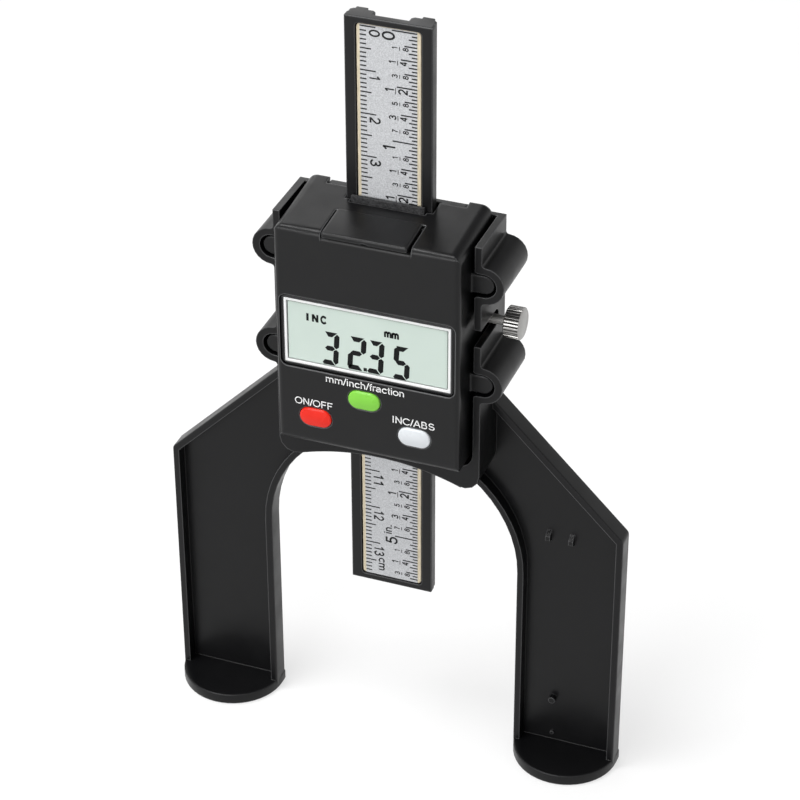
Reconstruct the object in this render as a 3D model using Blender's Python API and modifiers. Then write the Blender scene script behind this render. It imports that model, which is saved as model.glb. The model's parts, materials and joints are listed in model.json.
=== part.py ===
"""Digital depth gauge: a scale beam that slides in a display housing, on a bracket with two feet.

Lengths are metres. X runs across the gauge, Y from front to back and Z up. Depths along Y are counted
from the front plane of the printed scale, minus towards the reader, and heights from under the feet.
The whole gauge hangs on one empty, which centres it over the origin.
"""
import math

import bmesh
import bpy
from mathutils import Matrix, Vector

# Clearances and cutting
GAP = 0.0003
OVERRUN = 0.002
HAIR_GAP = 0.0002

# Scale beam
BEAM_WIDTH = 0.0194
BEAM_LENGTH = 0.1425
BEAM_TIP_HEIGHT = 0.0403
FLANGE_PROUD = 0.0003
FLANGE_WIDTH = 0.0024
SIDE_DEPTH = 0.0019
SIDE_STEP = 0.0002
RAIL_DEPTH = 0.00375
RAIL_WIDTH = 0.0058
RAIL_CHAMFER = 0.0006
WEB_BACK_DEPTH = 0.00185
RIB_DEPTH = 0.0046
RIB_WIDTH = 0.0026
RIB_INSET = 0.0011
BEAM_END_FRAME = 0.0014
STRIP_THICKNESS = 0.0006
STRIP_CORNER = 0.0008

# Bracket legs and feet
LEGS_WIDTH = 0.109
LEG_WIDTH = 0.0245
LEG_DEPTH = 0.0049
LEG_SETBACK = 0.0003
LEG_EDGE = 0.0004
RIM_WIDTH = 0.0016
WEB_THICKNESS = 0.0020
ARCH_CENTRE_HEIGHT = 0.0505
SHOULDER_HEIGHT = 0.0652
SHOULDER_CORNER = 0.0015
SHOULDER_TOP_HEIGHT = 0.0961
FOOT_THICKNESS = 0.0027
FOOT_REACH = 0.0096
FOOT_EDGE = 0.0004
FOOT_MARGIN = 0.00015
MAGNET_DIAMETER = 0.010
MAGNET_THICKNESS = 0.0017
MAGNET_RECESS = 0.00015

# Bracket pegs
HOOK_HEIGHT = 0.0610
HOOK_INSET = 0.0066
HOOK_PITCH = 0.0054
HOOK_LENGTH = 0.0034
HOOK_WIDTH = 0.0011
PEG_PROUD = 0.0015
PEG_DIAMETER = 0.0017
PEG_HEIGHT = 0.0152
NUB_DIAMETER = 0.0010
NUB_PROUD = 0.0006
NUB_HEIGHT = 0.0049

# Cradle
CRADLE_FRONT_DEPTH = 0.0080
CRADLE_WALL = 0.0016
CRADLE_SIDE_GAP = 0.0010
CRADLE_TOP_DROP = 0.0005
CRADLE_FLOOR = 0.0022
CRADLE_BACK = 0.00125
CRADLE_CORNER = 0.0045
CRADLE_INNER_CORNER = 0.0035
UNDERSIDE_RADIUS = 0.0560
EAR_RADIUS = 0.0044
EAR_CENTRE_OUTSET = 0.00055
EAR_FILLET = 0.0007
EAR_DROP = 0.0091
EAR_PITCH = 0.0248
SLOT_HEIGHT = 0.0042

# Housing shell
SHELL_WALL = 0.0015
SIDE_MARGIN = 0.0020
TOP_SLOPE_SHARE = 0.0835
UNDERSIDE_RISE = 0.0016
UNDERSIDE_SLOPE_DEPTH = 0.0040
SHELL_TOP_EDGE = 0.0008
SHELL_TOP_CORNER = 0.0016
SHELL_SIDE_EDGE = 0.0006
SHELL_BOTTOM_CORNER = 0.0030
SHELL_FRONT_BOTTOM_EDGE = 0.0025
TAB_REACH = 0.0052
TAB_RADIUS = 0.0022
TAB_CLEARANCE = 0.0006
TAB_SETBACK = 0.0005
TAB_FLARE = 0.0008
TAB_EDGE = 0.0003
TAB_SINK = 0.0001
TONGUE_WIDTH = 0.0312
TONGUE_DROP = 0.0006
COVER_THICKNESS = 0.0020
COVER_FLOOR = 0.00135
GUIDE_WALL = 0.0012

# Keys
KEY_WIDTH = 0.0074
KEY_HEIGHT = 0.0045
KEY_PROUD = 0.00065
KEY_EDGE = 0.0004
KEY_FLANGE = 0.0006
KEY_FLANGE_THICKNESS = 0.0007
KEY_TRAVEL = 0.0005
KEY_FOOT_HEIGHT = 0.0093
KEY_ROW_PITCH = 0.0069
KEY_TO_DISPLAY = 0.0061
LEFT_KEY_X = -0.0120
MIDDLE_KEY_X = -0.0006
RIGHT_KEY_X = 0.0109
MAT_THICKNESS = 0.0006
DOME_DIAMETER = 0.0046

# Display
DISPLAY_WIDTH = 0.0380
DISPLAY_HEIGHT = 0.0160
DISPLAY_SETBACK = 0.0003
DISPLAY_FRAME_DEPTH = 0.0029
DISPLAY_FRAME_WALL = 0.0006
DISPLAY_RECESS_MARGIN = 0.0006
DISPLAY_RECESS_DEPTH = 0.00035
DISPLAY_RECESS_CORNER = 0.0012
GLASS_THICKNESS = 0.0010
GLASS_SETBACK = 0.00025
ZEBRA_HEIGHT = 0.0020
ZEBRA_DEPTH = 0.0016

# Boards
BOARD_THICKNESS = 0.0010
SENSOR_BOARD_WIDTH = 0.0296
CHIP_WIDTH = 0.0080
CHIP_THICKNESS = 0.0012
CHIP_RISE = 0.0140
LINK_WIDTH = 0.0030
LINK_HEIGHT = 0.0160
LINK_OUTSET = 0.0120

# Battery bay
CELL_DIAMETER = 0.0116
CELL_THICKNESS = 0.0054
CELL_EDGE = 0.0005
CONTACT_THICKNESS = 0.0002
CONTACT_WIDTH = 0.0050
HOLDER_WALL = 0.0012
HOLDER_SIDE_WALL = 0.0016
BAY_CLEARANCE = 0.0016
BAY_FOOT = 0.0029
DOOR_WIDTH = 0.0192
DOOR_SIDE_GAP = 0.00055
DOOR_DEPTH = 0.00975
DOOR_THICKNESS = 0.0014
DOOR_PROUD = 0.0007
DOOR_OVERHANG = 0.0009
DOOR_EDGE = 0.0004
DOOR_POCKET_EDGE = 0.0012
DOOR_NOTCH_WIDTH = 0.0026
DOOR_NOTCH_HEIGHT = 0.0005
PLUG_LENGTH = 0.0007
PLUG_WALL = 0.0009

# Lock screw
LOCK_DEPTH = 0.0012
LOCK_BELOW_EARS = 0.0008
SHAFT_DIAMETER = 0.0020
KNOB_DIAMETER = 0.0072
KNOB_LENGTH = 0.0037
KNOB_STANDOFF = 0.0027
KNURL_DEPTH = 0.00022
KNURL_COUNT = 28
KNOB_EDGE = 0.00025
PAD_DIAMETER = 0.0026
PAD_LENGTH = 0.00165
INSERT_WALL = 0.00035
INSERT_LENGTH = 0.0041
LOCK_BOSS_DIAMETER = 0.0050
LOCK_BOSS_LENGTH = 0.0040

# Guide spring and wiper
SPRING_THICKNESS = 0.0003
SPRING_WIDTH = 0.0026
SPRING_LENGTH = 0.0340
SPRING_BOW = 0.00035
SPRING_POCKET = 0.0012
WIPER_WIDTH = 0.0166
WIPER_THICKNESS = 0.0008
WIPER_PROUD = 0.00125
WIPER_LENGTH = 0.0050

# Screws
TRAY_SCREW_DIAMETER = 0.0020
TRAY_SCREW_HEAD = 0.0034
TRAY_SCREW_HEAD_DEPTH = 0.0008
TRAY_SCREW_LENGTH = 0.0070
SMALL_SCREW_DIAMETER = 0.0014
SMALL_SCREW_HEAD = 0.0026
SMALL_SCREW_HEAD_DEPTH = 0.0007
COVER_SCREW_LENGTH = 0.0060
COVER_BOSS_DIAMETER = 0.0036
COVER_BOSS_LENGTH = 0.0070
COVER_BOSS_END_GAP = 0.0045
BOARD_SCREW_LENGTH = 0.0042
BOARD_BOSS_DIAMETER = 0.0028

# Facets
ROUND_SIDES = 20
FINE_SIDES = 12
ARCH_STEPS = 28
CORNER_STEPS = 4
EAR_STEPS = 12
SMOOTH_ANGLE = math.radians(35)
FLAT_ANGLE = math.radians(0.1)

# Places worked out from the sizes above
BEAM_HALF = BEAM_WIDTH / 2
BEAM_BACK = RIB_DEPTH - FLANGE_PROUD
CHANNEL_HALF = BEAM_HALF + GAP
SENSOR_BACK = -(FLANGE_PROUD + GAP)
SENSOR_FRONT = SENSOR_BACK - BOARD_THICKNESS
CHIP_FRONT = SENSOR_FRONT - GAP - CHIP_THICKNESS
HOLDER_BACK = CHIP_FRONT - BAY_CLEARANCE
CELL_BACK = HOLDER_BACK - HOLDER_WALL - 2 * GAP - CONTACT_THICKNESS
CELL_FRONT = CELL_BACK - CELL_THICKNESS
WALL_BACK = CELL_FRONT - 2 * GAP - CONTACT_THICKNESS
HOUSING_FRONT = WALL_BACK - SHELL_WALL
HOUSING_BACK = BEAM_BACK + GAP + COVER_FLOOR
HOUSING_HALF = DISPLAY_WIDTH / 2 + SIDE_MARGIN
CAVITY_HALF = HOUSING_HALF - SHELL_WALL
COVER_FRONT = HOUSING_BACK - COVER_THICKNESS

LEGS_HALF = LEGS_WIDTH / 2
ARCH_RADIUS = LEGS_HALF - LEG_WIDTH
LEG_MIDDLE = LEGS_HALF - LEG_WIDTH / 2
LEG_BACK = LEG_SETBACK + LEG_DEPTH
WEB_FRONT = LEG_BACK - WEB_THICKNESS
FOOT_RADIUS = LEG_WIDTH / 2 + FOOT_MARGIN
FOOT_FRONT = LEG_SETBACK - FOOT_REACH

CRADLE_FRONT = -CRADLE_FRONT_DEPTH
CRADLE_INNER_HALF = HOUSING_HALF + CRADLE_SIDE_GAP
CRADLE_HALF = CRADLE_INNER_HALF + CRADLE_WALL
TRAY_FRONT = HOUSING_BACK + GAP
TRAY_BACK = TRAY_FRONT + CRADLE_BACK
UNDERSIDE_HEIGHT = ARCH_CENTRE_HEIGHT + ARCH_RADIUS
FLOOR_HEIGHT = UNDERSIDE_HEIGHT + CRADLE_FLOOR
HOUSING_BOTTOM = FLOOR_HEIGHT + GAP
LOWER_KEY_HEIGHT = HOUSING_BOTTOM + KEY_FOOT_HEIGHT
UPPER_KEY_HEIGHT = LOWER_KEY_HEIGHT + KEY_ROW_PITCH
DISPLAY_BOTTOM = UPPER_KEY_HEIGHT + KEY_TO_DISPLAY
DISPLAY_TOP = DISPLAY_BOTTOM + DISPLAY_HEIGHT
HOLDER_BOTTOM = DISPLAY_TOP + BAY_FOOT
CELL_BOTTOM = HOLDER_BOTTOM + HOLDER_WALL + GAP
CELL_TOP = CELL_BOTTOM + CELL_DIAMETER
CELL_MIDDLE = (CELL_BOTTOM + CELL_TOP) / 2
DOOR_UNDERSIDE = CELL_TOP + GAP + PLUG_LENGTH
POCKET_FLOOR = DOOR_UNDERSIDE - GAP
HOUSING_TOP = DOOR_UNDERSIDE + DOOR_THICKNESS - DOOR_PROUD
CAVITY_TOP = HOUSING_TOP - SHELL_WALL
CAVITY_BOTTOM = HOUSING_BOTTOM + UNDERSIDE_RISE + SHELL_WALL
CRADLE_TOP = HOUSING_TOP - CRADLE_TOP_DROP
UPPER_EAR_HEIGHT = CRADLE_TOP - EAR_DROP
LOWER_EAR_HEIGHT = UPPER_EAR_HEIGHT - EAR_PITCH
EAR_HEIGHTS = (UPPER_EAR_HEIGHT, LOWER_EAR_HEIGHT)
EAR_CENTRE = CRADLE_HALF + EAR_CENTRE_OUTSET
TAB_CENTRE = HOUSING_HALF + TAB_REACH - TAB_RADIUS
LOCK_HEIGHT = (UPPER_EAR_HEIGHT + LOWER_EAR_HEIGHT) / 2 - LOCK_BELOW_EARS
BOARD_BOSS_X = CAVITY_HALF - BOARD_BOSS_DIAMETER / 2 - GAP
COVER_BOSS_X = CAVITY_HALF - COVER_BOSS_DIAMETER / 2 + GAP

# Depth at which the middle of the gauge lies ahead of the scale plane
CENTRE_SHIFT = -(HOUSING_FRONT - DOOR_OVERHANG + TRAY_BACK) / 2

PARTS = None
CUTTERS = None
ROOT = None


def top_height(depth):
    """Height of the housing's sloping top at a depth."""
    return HOUSING_TOP + (depth - HOUSING_FRONT) * TOP_SLOPE_SHARE


def clear_scene():
    for obj in list(bpy.data.objects):
        bpy.data.objects.remove(obj, do_unlink=True)


def new_collection(name):
    made = bpy.data.collections.new(name)
    bpy.context.scene.collection.children.link(made)
    return made


def new_material(name, colour, roughness, metallic=0.0):
    made = bpy.data.materials.new(name)
    made.use_nodes = True
    shader = made.node_tree.nodes["Principled BSDF"]
    shader.inputs["Base Color"].default_value = (*colour, 1.0)
    shader.inputs["Roughness"].default_value = roughness
    shader.inputs["Metallic"].default_value = metallic
    return made


# Outlines

def arc(centre, radius, start, end, steps):
    """Points on an arc from one angle to another, in degrees, both ends included."""
    points = []
    for i in range(steps + 1):
        angle = math.radians(start + (end - start) * i / steps)
        points.append((centre[0] + radius * math.cos(angle), centre[1] + radius * math.sin(angle)))
    return points


def rounded(corners, steps=CORNER_STEPS):
    """Outline through (u, v, radius) corners, with an arc at each corner whose radius isn't zero."""
    points = []
    for i, (u, v, radius) in enumerate(corners):
        here = Vector((u, v))
        if radius == 0:
            points.append((u, v))
            continue
        before = (Vector(corners[i - 1][:2]) - here).normalized()
        after = (Vector(corners[(i + 1) % len(corners)][:2]) - here).normalized()
        half = before.angle(after) / 2
        centre = here + (before + after).normalized() * radius / math.sin(half)
        first = here + before * radius / math.tan(half) - centre
        last = here + after * radius / math.tan(half) - centre
        turn = first.angle_signed(last)
        for k in range(steps + 1):
            spoke = Matrix.Rotation(-turn * k / steps, 2) @ first
            points.append(tuple(centre + spoke))
    return points


def rectangle(low_u, high_u, low_v, high_v, radius=0.0):
    return rounded([(low_u, low_v, radius), (high_u, low_v, radius),
                    (high_u, high_v, radius), (low_u, high_v, radius)])


def capsule(width, height, steps=6):
    """Oblong with round ends, centred on zero, longer in u."""
    radius = height / 2
    reach = width / 2 - radius
    return arc((reach, 0), radius, -90, 90, steps) + arc((-reach, 0), radius, 90, 270, steps)


def mirrored(points):
    """Closes a right half outline with its mirror image in u."""
    return points + [(-u, v) for u, v in reversed(points)]


# Solids

TURNS = {
    "XY": (0, 0, 0),
    "XZ": (math.pi / 2, 0, 0),
    "YZ": (math.pi / 2, 0, math.pi / 2),
}
DIRECTIONS = {
    "X": (0, math.pi / 2, 0),
    "Y": (-math.pi / 2, 0, 0),
    "Z": (0, 0, 0),
}


def add_object(name, mesh, place, turn=(0, 0, 0)):
    """Places a mesh in the gauge, smooth apart from its sharp edges."""
    mesh.shade_smooth()
    mesh.set_sharp_from_angle(angle=SMOOTH_ANGLE)
    obj = bpy.data.objects.new(name, mesh)
    obj.location = place
    obj.rotation_euler = turn
    obj.parent = ROOT
    PARTS.objects.link(obj)
    return obj


def finish_mesh(name, shape):
    mesh = bpy.data.meshes.new(name)
    bmesh.ops.recalc_face_normals(shape, faces=shape.faces)
    shape.to_mesh(mesh)
    shape.free()
    return mesh


def plate(name, outline, plane, low, high, at=(0, 0, 0)):
    """Flat outline in a plane, extruded square to it from low to high, about the place `at`."""
    curve = bpy.data.curves.new(name, "CURVE")
    curve.dimensions = "2D"
    curve.fill_mode = "BOTH"
    curve.extrude = (high - low) / 2
    spline = curve.splines.new("POLY")
    spline.points.add(len(outline) - 1)
    for point, (u, v) in zip(spline.points, outline):
        point.co = (u, v, 0, 1)
    spline.use_cyclic_u = True
    sheet = bpy.data.objects.new(name + "_outline", curve)
    PARTS.objects.link(sheet)
    solid = bpy.data.meshes.new_from_object(sheet.evaluated_get(bpy.context.evaluated_depsgraph_get()))
    bpy.data.objects.remove(sheet, do_unlink=True)
    bpy.data.curves.remove(curve)
    shape = bmesh.new()
    shape.from_mesh(solid)
    bpy.data.meshes.remove(solid)
    bmesh.ops.remove_doubles(shape, verts=shape.verts, dist=GAP / 1000)
    bmesh.ops.dissolve_limit(shape, angle_limit=FLAT_ANGLE, verts=shape.verts, edges=shape.edges)
    middle = (low + high) / 2
    square = {"XY": (0, 0, middle), "XZ": (0, middle, 0), "YZ": (middle, 0, 0)}[plane]
    return add_object(name, finish_mesh(name, shape), Vector(square) + Vector(at), TURNS[plane])


def box(name, x, y, z):
    """Block between the (low, high) pairs of each axis."""
    shape = bmesh.new()
    size = [pair[1] - pair[0] for pair in (x, y, z)]
    bmesh.ops.create_cube(shape, size=1, matrix=Matrix.Diagonal((*size, 1)))
    return add_object(name, finish_mesh(name, shape), [sum(pair) / 2 for pair in (x, y, z)])


def cone(name, direction, start, end, first_radius, last_radius, at, sides=ROUND_SIDES):
    """Round solid along an axis from start to end; `at` gives its place across the axis."""
    shape = bmesh.new()
    bmesh.ops.create_cone(shape, cap_ends=True, segments=sides, radius1=first_radius,
                          radius2=last_radius, depth=end - start)
    middle = (start + end) / 2
    place = {"X": (middle, at[0], at[1]), "Y": (at[0], middle, at[1]), "Z": (at[0], at[1], middle)}
    return add_object(name, finish_mesh(name, shape), place[direction], DIRECTIONS[direction])


def cylinder(name, direction, start, end, radius, at, sides=ROUND_SIDES):
    return cone(name, direction, start, end, radius, radius, at, sides)


def turned(name, profile, place, direction, sides=ROUND_SIDES):
    """Solid of revolution: (radius, height) points from the top down, about a line along an axis."""
    shape = bmesh.new()
    verts = [shape.verts.new((radius, 0, height)) for radius, height in profile]
    for first, second in zip(verts, verts[1:]):
        shape.edges.new((first, second))
    mesh = bpy.data.meshes.new(name)
    shape.to_mesh(mesh)
    shape.free()
    obj = add_object(name, mesh, place, DIRECTIONS[direction])
    screw = obj.modifiers.new("turn", "SCREW")
    screw.steps = sides
    screw.render_steps = sides
    screw.use_merge_vertices = True
    screw.merge_threshold = GAP / 100
    return obj


def four_places(reach, heights):
    """The (x, height) places of a set of four, left and right at two heights."""
    return [(side * reach, height) for side in (1, -1) for height in heights]


def bevel(obj, width, segments=2, angle=math.radians(50)):
    rounding = obj.modifiers.new("bevel", "BEVEL")
    rounding.width = width
    rounding.segments = segments
    rounding.limit_method = "ANGLE"
    rounding.angle_limit = angle


def combine(target, tool, operation):
    step = target.modifiers.new(operation.lower(), "BOOLEAN")
    step.operation = operation
    step.object = tool
    PARTS.objects.unlink(tool)
    CUTTERS.objects.link(tool)
    tool.hide_render = True
    tool.display_type = "WIRE"


def cut(target, *tools):
    for tool in tools:
        combine(target, tool, "DIFFERENCE")


def join(target, *tools):
    for tool in tools:
        combine(target, tool, "UNION")


def keep(target, *tools):
    for tool in tools:
        combine(target, tool, "INTERSECT")


def paint(obj, finish):
    obj.data.materials.append(finish)
    return obj


# Beam

def beam_section():
    """Half section of the beam: thin web in front, two rails behind, and a rib on each rail."""
    front = -FLANGE_PROUD
    rib_outer = BEAM_HALF - RIB_INSET
    rib_inner = rib_outer - RIB_WIDTH
    return [
        (BEAM_HALF, front),
        (BEAM_HALF, front + SIDE_DEPTH),
        (BEAM_HALF - SIDE_STEP, front + SIDE_DEPTH),
        (BEAM_HALF - SIDE_STEP, front + RAIL_DEPTH - RAIL_CHAMFER),
        (BEAM_HALF - SIDE_STEP - RAIL_CHAMFER, front + RAIL_DEPTH),
        (rib_outer, front + RAIL_DEPTH),
        (rib_outer, BEAM_BACK),
        (rib_inner, BEAM_BACK),
        (rib_inner, front + RAIL_DEPTH),
        (BEAM_HALF - RAIL_WIDTH + RAIL_CHAMFER, front + RAIL_DEPTH),
        (BEAM_HALF - RAIL_WIDTH, front + RAIL_DEPTH - RAIL_CHAMFER),
        (BEAM_HALF - RAIL_WIDTH, front + WEB_BACK_DEPTH),
    ]


def build_beam(plastic, board):
    tip = (0, 0, BEAM_TIP_HEIGHT)
    beam = plate("beam", mirrored(beam_section()), "XY", -BEAM_LENGTH / 2, BEAM_LENGTH / 2,
                 at=(0, 0, BEAM_TIP_HEIGHT + BEAM_LENGTH / 2))
    strip_half = BEAM_HALF - FLANGE_WIDTH - HAIR_GAP
    strip_low = BEAM_END_FRAME + HAIR_GAP
    strip_high = BEAM_LENGTH - strip_low
    recess = plate("beam_recess", rectangle(-strip_half - HAIR_GAP, strip_half + HAIR_GAP,
                                            BEAM_END_FRAME, BEAM_LENGTH - BEAM_END_FRAME, STRIP_CORNER),
                   "XZ", -FLANGE_PROUD - OVERRUN, STRIP_THICKNESS + HAIR_GAP, at=tip)
    cut(beam, recess)
    paint(beam, plastic)
    strip = plate("scale_strip", rectangle(-strip_half, strip_half, strip_low, strip_high, STRIP_CORNER),
                  "XZ", 0, STRIP_THICKNESS, at=tip)
    paint(strip, board)


# Bracket

def arch_points(radius):
    return arc((0, ARCH_CENTRE_HEIGHT), radius, 180, 0, ARCH_STEPS)


def legs_outline():
    """Both legs and the arch between them, as one outline that stands inside the feet."""
    low = FOOT_THICKNESS / 2
    half = rounded([
        (ARCH_RADIUS, low, 0),
        (LEGS_HALF, low, 0),
        (LEGS_HALF, SHOULDER_HEIGHT, SHOULDER_CORNER),
        (CRADLE_HALF, SHOULDER_TOP_HEIGHT, 0),
        (CRADLE_INNER_HALF + GAP, SHOULDER_TOP_HEIGHT, 0),
        (CRADLE_INNER_HALF + GAP, FLOOR_HEIGHT + RIM_WIDTH, 0),
    ])
    return mirrored(half) + arch_points(ARCH_RADIUS)


def pocket_outline():
    """The legs' outline drawn in by the rim, open over the feet."""
    diagonal = Vector((CRADLE_HALF - LEGS_HALF, SHOULDER_TOP_HEIGHT - SHOULDER_HEIGHT)).normalized()
    inward = Vector((-diagonal.y, diagonal.x)) * RIM_WIDTH
    outer = LEGS_HALF - RIM_WIDTH
    start = Vector((LEGS_HALF, SHOULDER_HEIGHT)) + inward
    corner = start + diagonal * (outer - start.x) / diagonal.x
    top = start + diagonal * (CRADLE_HALF - start.x) / diagonal.x
    inner = ARCH_RADIUS + RIM_WIDTH
    low = FOOT_THICKNESS - GAP
    half = [(inner, low), (outer, low), tuple(corner), tuple(top), (CRADLE_HALF - GAP, top.y),
            (CRADLE_HALF - GAP, ARCH_CENTRE_HEIGHT + inner + GAP)]
    return mirrored(half) + arch_points(inner)


def ear_outline(height):
    """Ear on the cradle's right wall: fillet, round back and fillet, from the bottom up."""
    fillet_x = CRADLE_HALF + EAR_FILLET
    reach = EAR_RADIUS + EAR_FILLET
    rise = math.sqrt(reach ** 2 - (fillet_x - EAR_CENTRE) ** 2)
    lean = math.degrees(math.atan2(rise, fillet_x - EAR_CENTRE))
    lower = arc((fillet_x, height - rise), EAR_FILLET, 180, 180 - lean, CORNER_STEPS)
    back = arc((EAR_CENTRE, height), EAR_RADIUS, -lean, lean, EAR_STEPS)
    upper = arc((fillet_x, height + rise), EAR_FILLET, 180 + lean, 180, CORNER_STEPS)
    return lower + back[1:-1] + upper


def flared_outline(side, face, radius):
    """A tab or its pocket from the front: a round end, and a flared root that starts behind a face."""
    root = face - TAB_SINK
    offset = radius + TAB_FLARE
    lower = arc((root + TAB_FLARE, -offset), TAB_FLARE, 180, 90, CORNER_STEPS)
    end = arc((TAB_CENTRE, 0), radius, -90, 90, EAR_STEPS)
    upper = arc((root + TAB_FLARE, offset), TAB_FLARE, 270, 180, CORNER_STEPS)
    start = face - SHELL_WALL / 2
    outline = lower + end + upper + [(start, offset), (start, -offset)]
    return [(side * u, v) for u, v in outline]


def cradle_outline():
    """Outside of the cradle from the front: arched underside, round corners, ears on the walls."""
    centre = UNDERSIDE_HEIGHT - UNDERSIDE_RADIUS
    half_turn = math.degrees(math.asin(CRADLE_HALF / UNDERSIDE_RADIUS))
    share_kept = 1 - CRADLE_CORNER / CRADLE_HALF
    under = arc((0, centre), UNDERSIDE_RADIUS, 90, 90 - half_turn * share_kept, EAR_STEPS)
    corner_height = centre + math.sqrt(UNDERSIDE_RADIUS ** 2 - CRADLE_HALF ** 2)
    turn = rounded([(*under[-1], 0), (CRADLE_HALF, corner_height, CRADLE_CORNER * share_kept),
                    (CRADLE_HALF, LOWER_EAR_HEIGHT, 0)])
    half = under + turn[1:-1] + ear_outline(LOWER_EAR_HEIGHT) + ear_outline(UPPER_EAR_HEIGHT)
    return mirrored(half[1:] + [(CRADLE_HALF, CRADLE_TOP)])


def build_foot(side):
    """Round-fronted foot plate under one leg, a little larger than it all round."""
    centre = FOOT_FRONT + FOOT_RADIUS
    back = LEG_BACK + FOOT_MARGIN
    outline = arc((0, centre), FOOT_RADIUS, 180, 360, 2 * EAR_STEPS)
    outline += [(FOOT_RADIUS, back), (-FOOT_RADIUS, back)]
    foot = plate("foot_" + side[0], outline, "XY", 0, FOOT_THICKNESS, at=(side[1] * LEG_MIDDLE, 0, 0))
    bevel(foot, FOOT_EDGE)
    return foot


def build_pegs():
    """Two hooks, a peg and a nub moulded on the right leg's web."""
    front = WEB_FRONT - PEG_PROUD
    pegs = []
    for i in range(2):
        x = ARCH_RADIUS + HOOK_INSET + i * HOOK_PITCH
        outline = [(WEB_FRONT + GAP, -HOOK_LENGTH / 2), (WEB_FRONT + GAP, HOOK_LENGTH / 2),
                   (front, HOOK_LENGTH / 6), (front, -HOOK_LENGTH / 6)]
        pegs.append(plate("hook_" + str(i + 1), outline, "YZ", x - HOOK_WIDTH / 2, x + HOOK_WIDTH / 2,
                          at=(0, 0, HOOK_HEIGHT)))
    peg_x = LEG_MIDDLE - LEG_WIDTH / 7
    pegs.append(cylinder("peg", "Y", front, WEB_FRONT + GAP, PEG_DIAMETER / 2, (peg_x, PEG_HEIGHT),
                         FINE_SIDES))
    pegs.append(cylinder("nub", "Y", WEB_FRONT - NUB_PROUD, WEB_FRONT + GAP, NUB_DIAMETER / 2,
                         (peg_x, NUB_HEIGHT), FINE_SIDES))
    return pegs


def magnet_depth():
    """Depth of the magnets' centres, in the middle of the foot plates."""
    return (FOOT_FRONT + LEG_BACK) / 2


def build_bracket(plastic):
    bracket = plate("bracket", legs_outline(), "XZ", LEG_SETBACK, LEG_BACK)
    bevel(bracket, LEG_EDGE)
    pocket = plate("leg_pocket", pocket_outline(), "XZ", LEG_SETBACK - OVERRUN, WEB_FRONT)
    cut(bracket, pocket)
    cradle = plate("cradle", cradle_outline(), "XZ", CRADLE_FRONT, TRAY_BACK)
    bevel(cradle, LEG_EDGE)
    join(bracket, cradle, build_foot(("right", 1)), build_foot(("left", -1)), *build_pegs())
    bay = rounded([(0, FLOOR_HEIGHT, 0), (CRADLE_INNER_HALF, FLOOR_HEIGHT, CRADLE_INNER_CORNER),
                   (CRADLE_INNER_HALF, CRADLE_TOP + OVERRUN, 0)])
    cut(bracket, plate("cradle_bay", mirrored(bay[1:]), "XZ", CRADLE_FRONT - OVERRUN, TRAY_FRONT))
    for side, height in four_places(1, EAR_HEIGHTS):
        pocket = flared_outline(side, CRADLE_INNER_HALF, TAB_RADIUS + TAB_CLEARANCE)
        cut(bracket, plate("ear_pocket", pocket, "XZ", CRADLE_FRONT - OVERRUN, TRAY_FRONT, at=(0, 0, height)))
    for x, height in four_places(TAB_CENTRE, EAR_HEIGHTS):
        cut(bracket, cylinder("screw_hole", "Y", TRAY_FRONT - OVERRUN, TRAY_BACK + OVERRUN,
                              TRAY_SCREW_DIAMETER / 2 + GAP, (x, height), FINE_SIDES))
        cut(bracket, countersink("screw_seat", TRAY_BACK, x, height))
    for side in (1, -1):
        cut(bracket, cylinder("magnet_pocket", "Z", -OVERRUN, MAGNET_RECESS + MAGNET_THICKNESS + GAP,
                              MAGNET_DIAMETER / 2 + GAP, (side * LEG_MIDDLE, magnet_depth())))
    cut(bracket, box("beam_way", (-CHANNEL_HALF - GAP, CHANNEL_HALF + GAP),
                     (-FLANGE_PROUD - 2 * GAP, BEAM_BACK + 2 * GAP),
                     (UNDERSIDE_HEIGHT - CRADLE_INNER_HALF, FLOOR_HEIGHT + OVERRUN)))
    slot = [(CRADLE_FRONT - OVERRUN, -SLOT_HEIGHT / 2)]
    slot += arc((LOCK_DEPTH, 0), SLOT_HEIGHT / 2, -90, 90, EAR_STEPS)
    slot += [(CRADLE_FRONT - OVERRUN, SLOT_HEIGHT / 2)]
    cut(bracket, plate("lock_slot", slot, "YZ", CRADLE_INNER_HALF - CRADLE_WALL, CRADLE_HALF + CRADLE_WALL,
                       at=(0, 0, LOCK_HEIGHT)))
    paint(bracket, plastic)


def countersink(name, face, x, height):
    """Cone that seats a tray screw's head, widening towards the back face."""
    wide = TRAY_SCREW_HEAD / 2 + GAP
    narrow = TRAY_SCREW_DIAMETER / 2 + GAP
    slope = (wide - narrow) / TRAY_SCREW_HEAD_DEPTH
    return cone(name, "Y", face - TRAY_SCREW_HEAD_DEPTH, face + OVERRUN, narrow,
                wide + slope * OVERRUN, (x, height), FINE_SIDES)


def build_magnets(steel):
    for name, side in (("right", 1), ("left", -1)):
        magnet = cylinder("foot_magnet_" + name, "Z", MAGNET_RECESS, MAGNET_RECESS + MAGNET_THICKNESS,
                          MAGNET_DIAMETER / 2, (side * LEG_MIDDLE, magnet_depth()))
        paint(magnet, steel)


def screw_profile(head, head_depth, shank, length):
    """Countersunk screw seen from its head, which faces the local +Z."""
    return [(0, 0), (head / 2, 0), (shank / 2, -head_depth), (shank / 2, -length + shank / 2), (0, -length)]


def build_tray_screws(steel):
    profile = screw_profile(TRAY_SCREW_HEAD, TRAY_SCREW_HEAD_DEPTH, TRAY_SCREW_DIAMETER, TRAY_SCREW_LENGTH)
    for i, (x, height) in enumerate(four_places(TAB_CENTRE, EAR_HEIGHTS)):
        screw = turned("tray_screw_" + str(i + 1), profile, (x, TRAY_BACK, height), "Y", FINE_SIDES)
        paint(screw, steel)


# Housing

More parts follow.
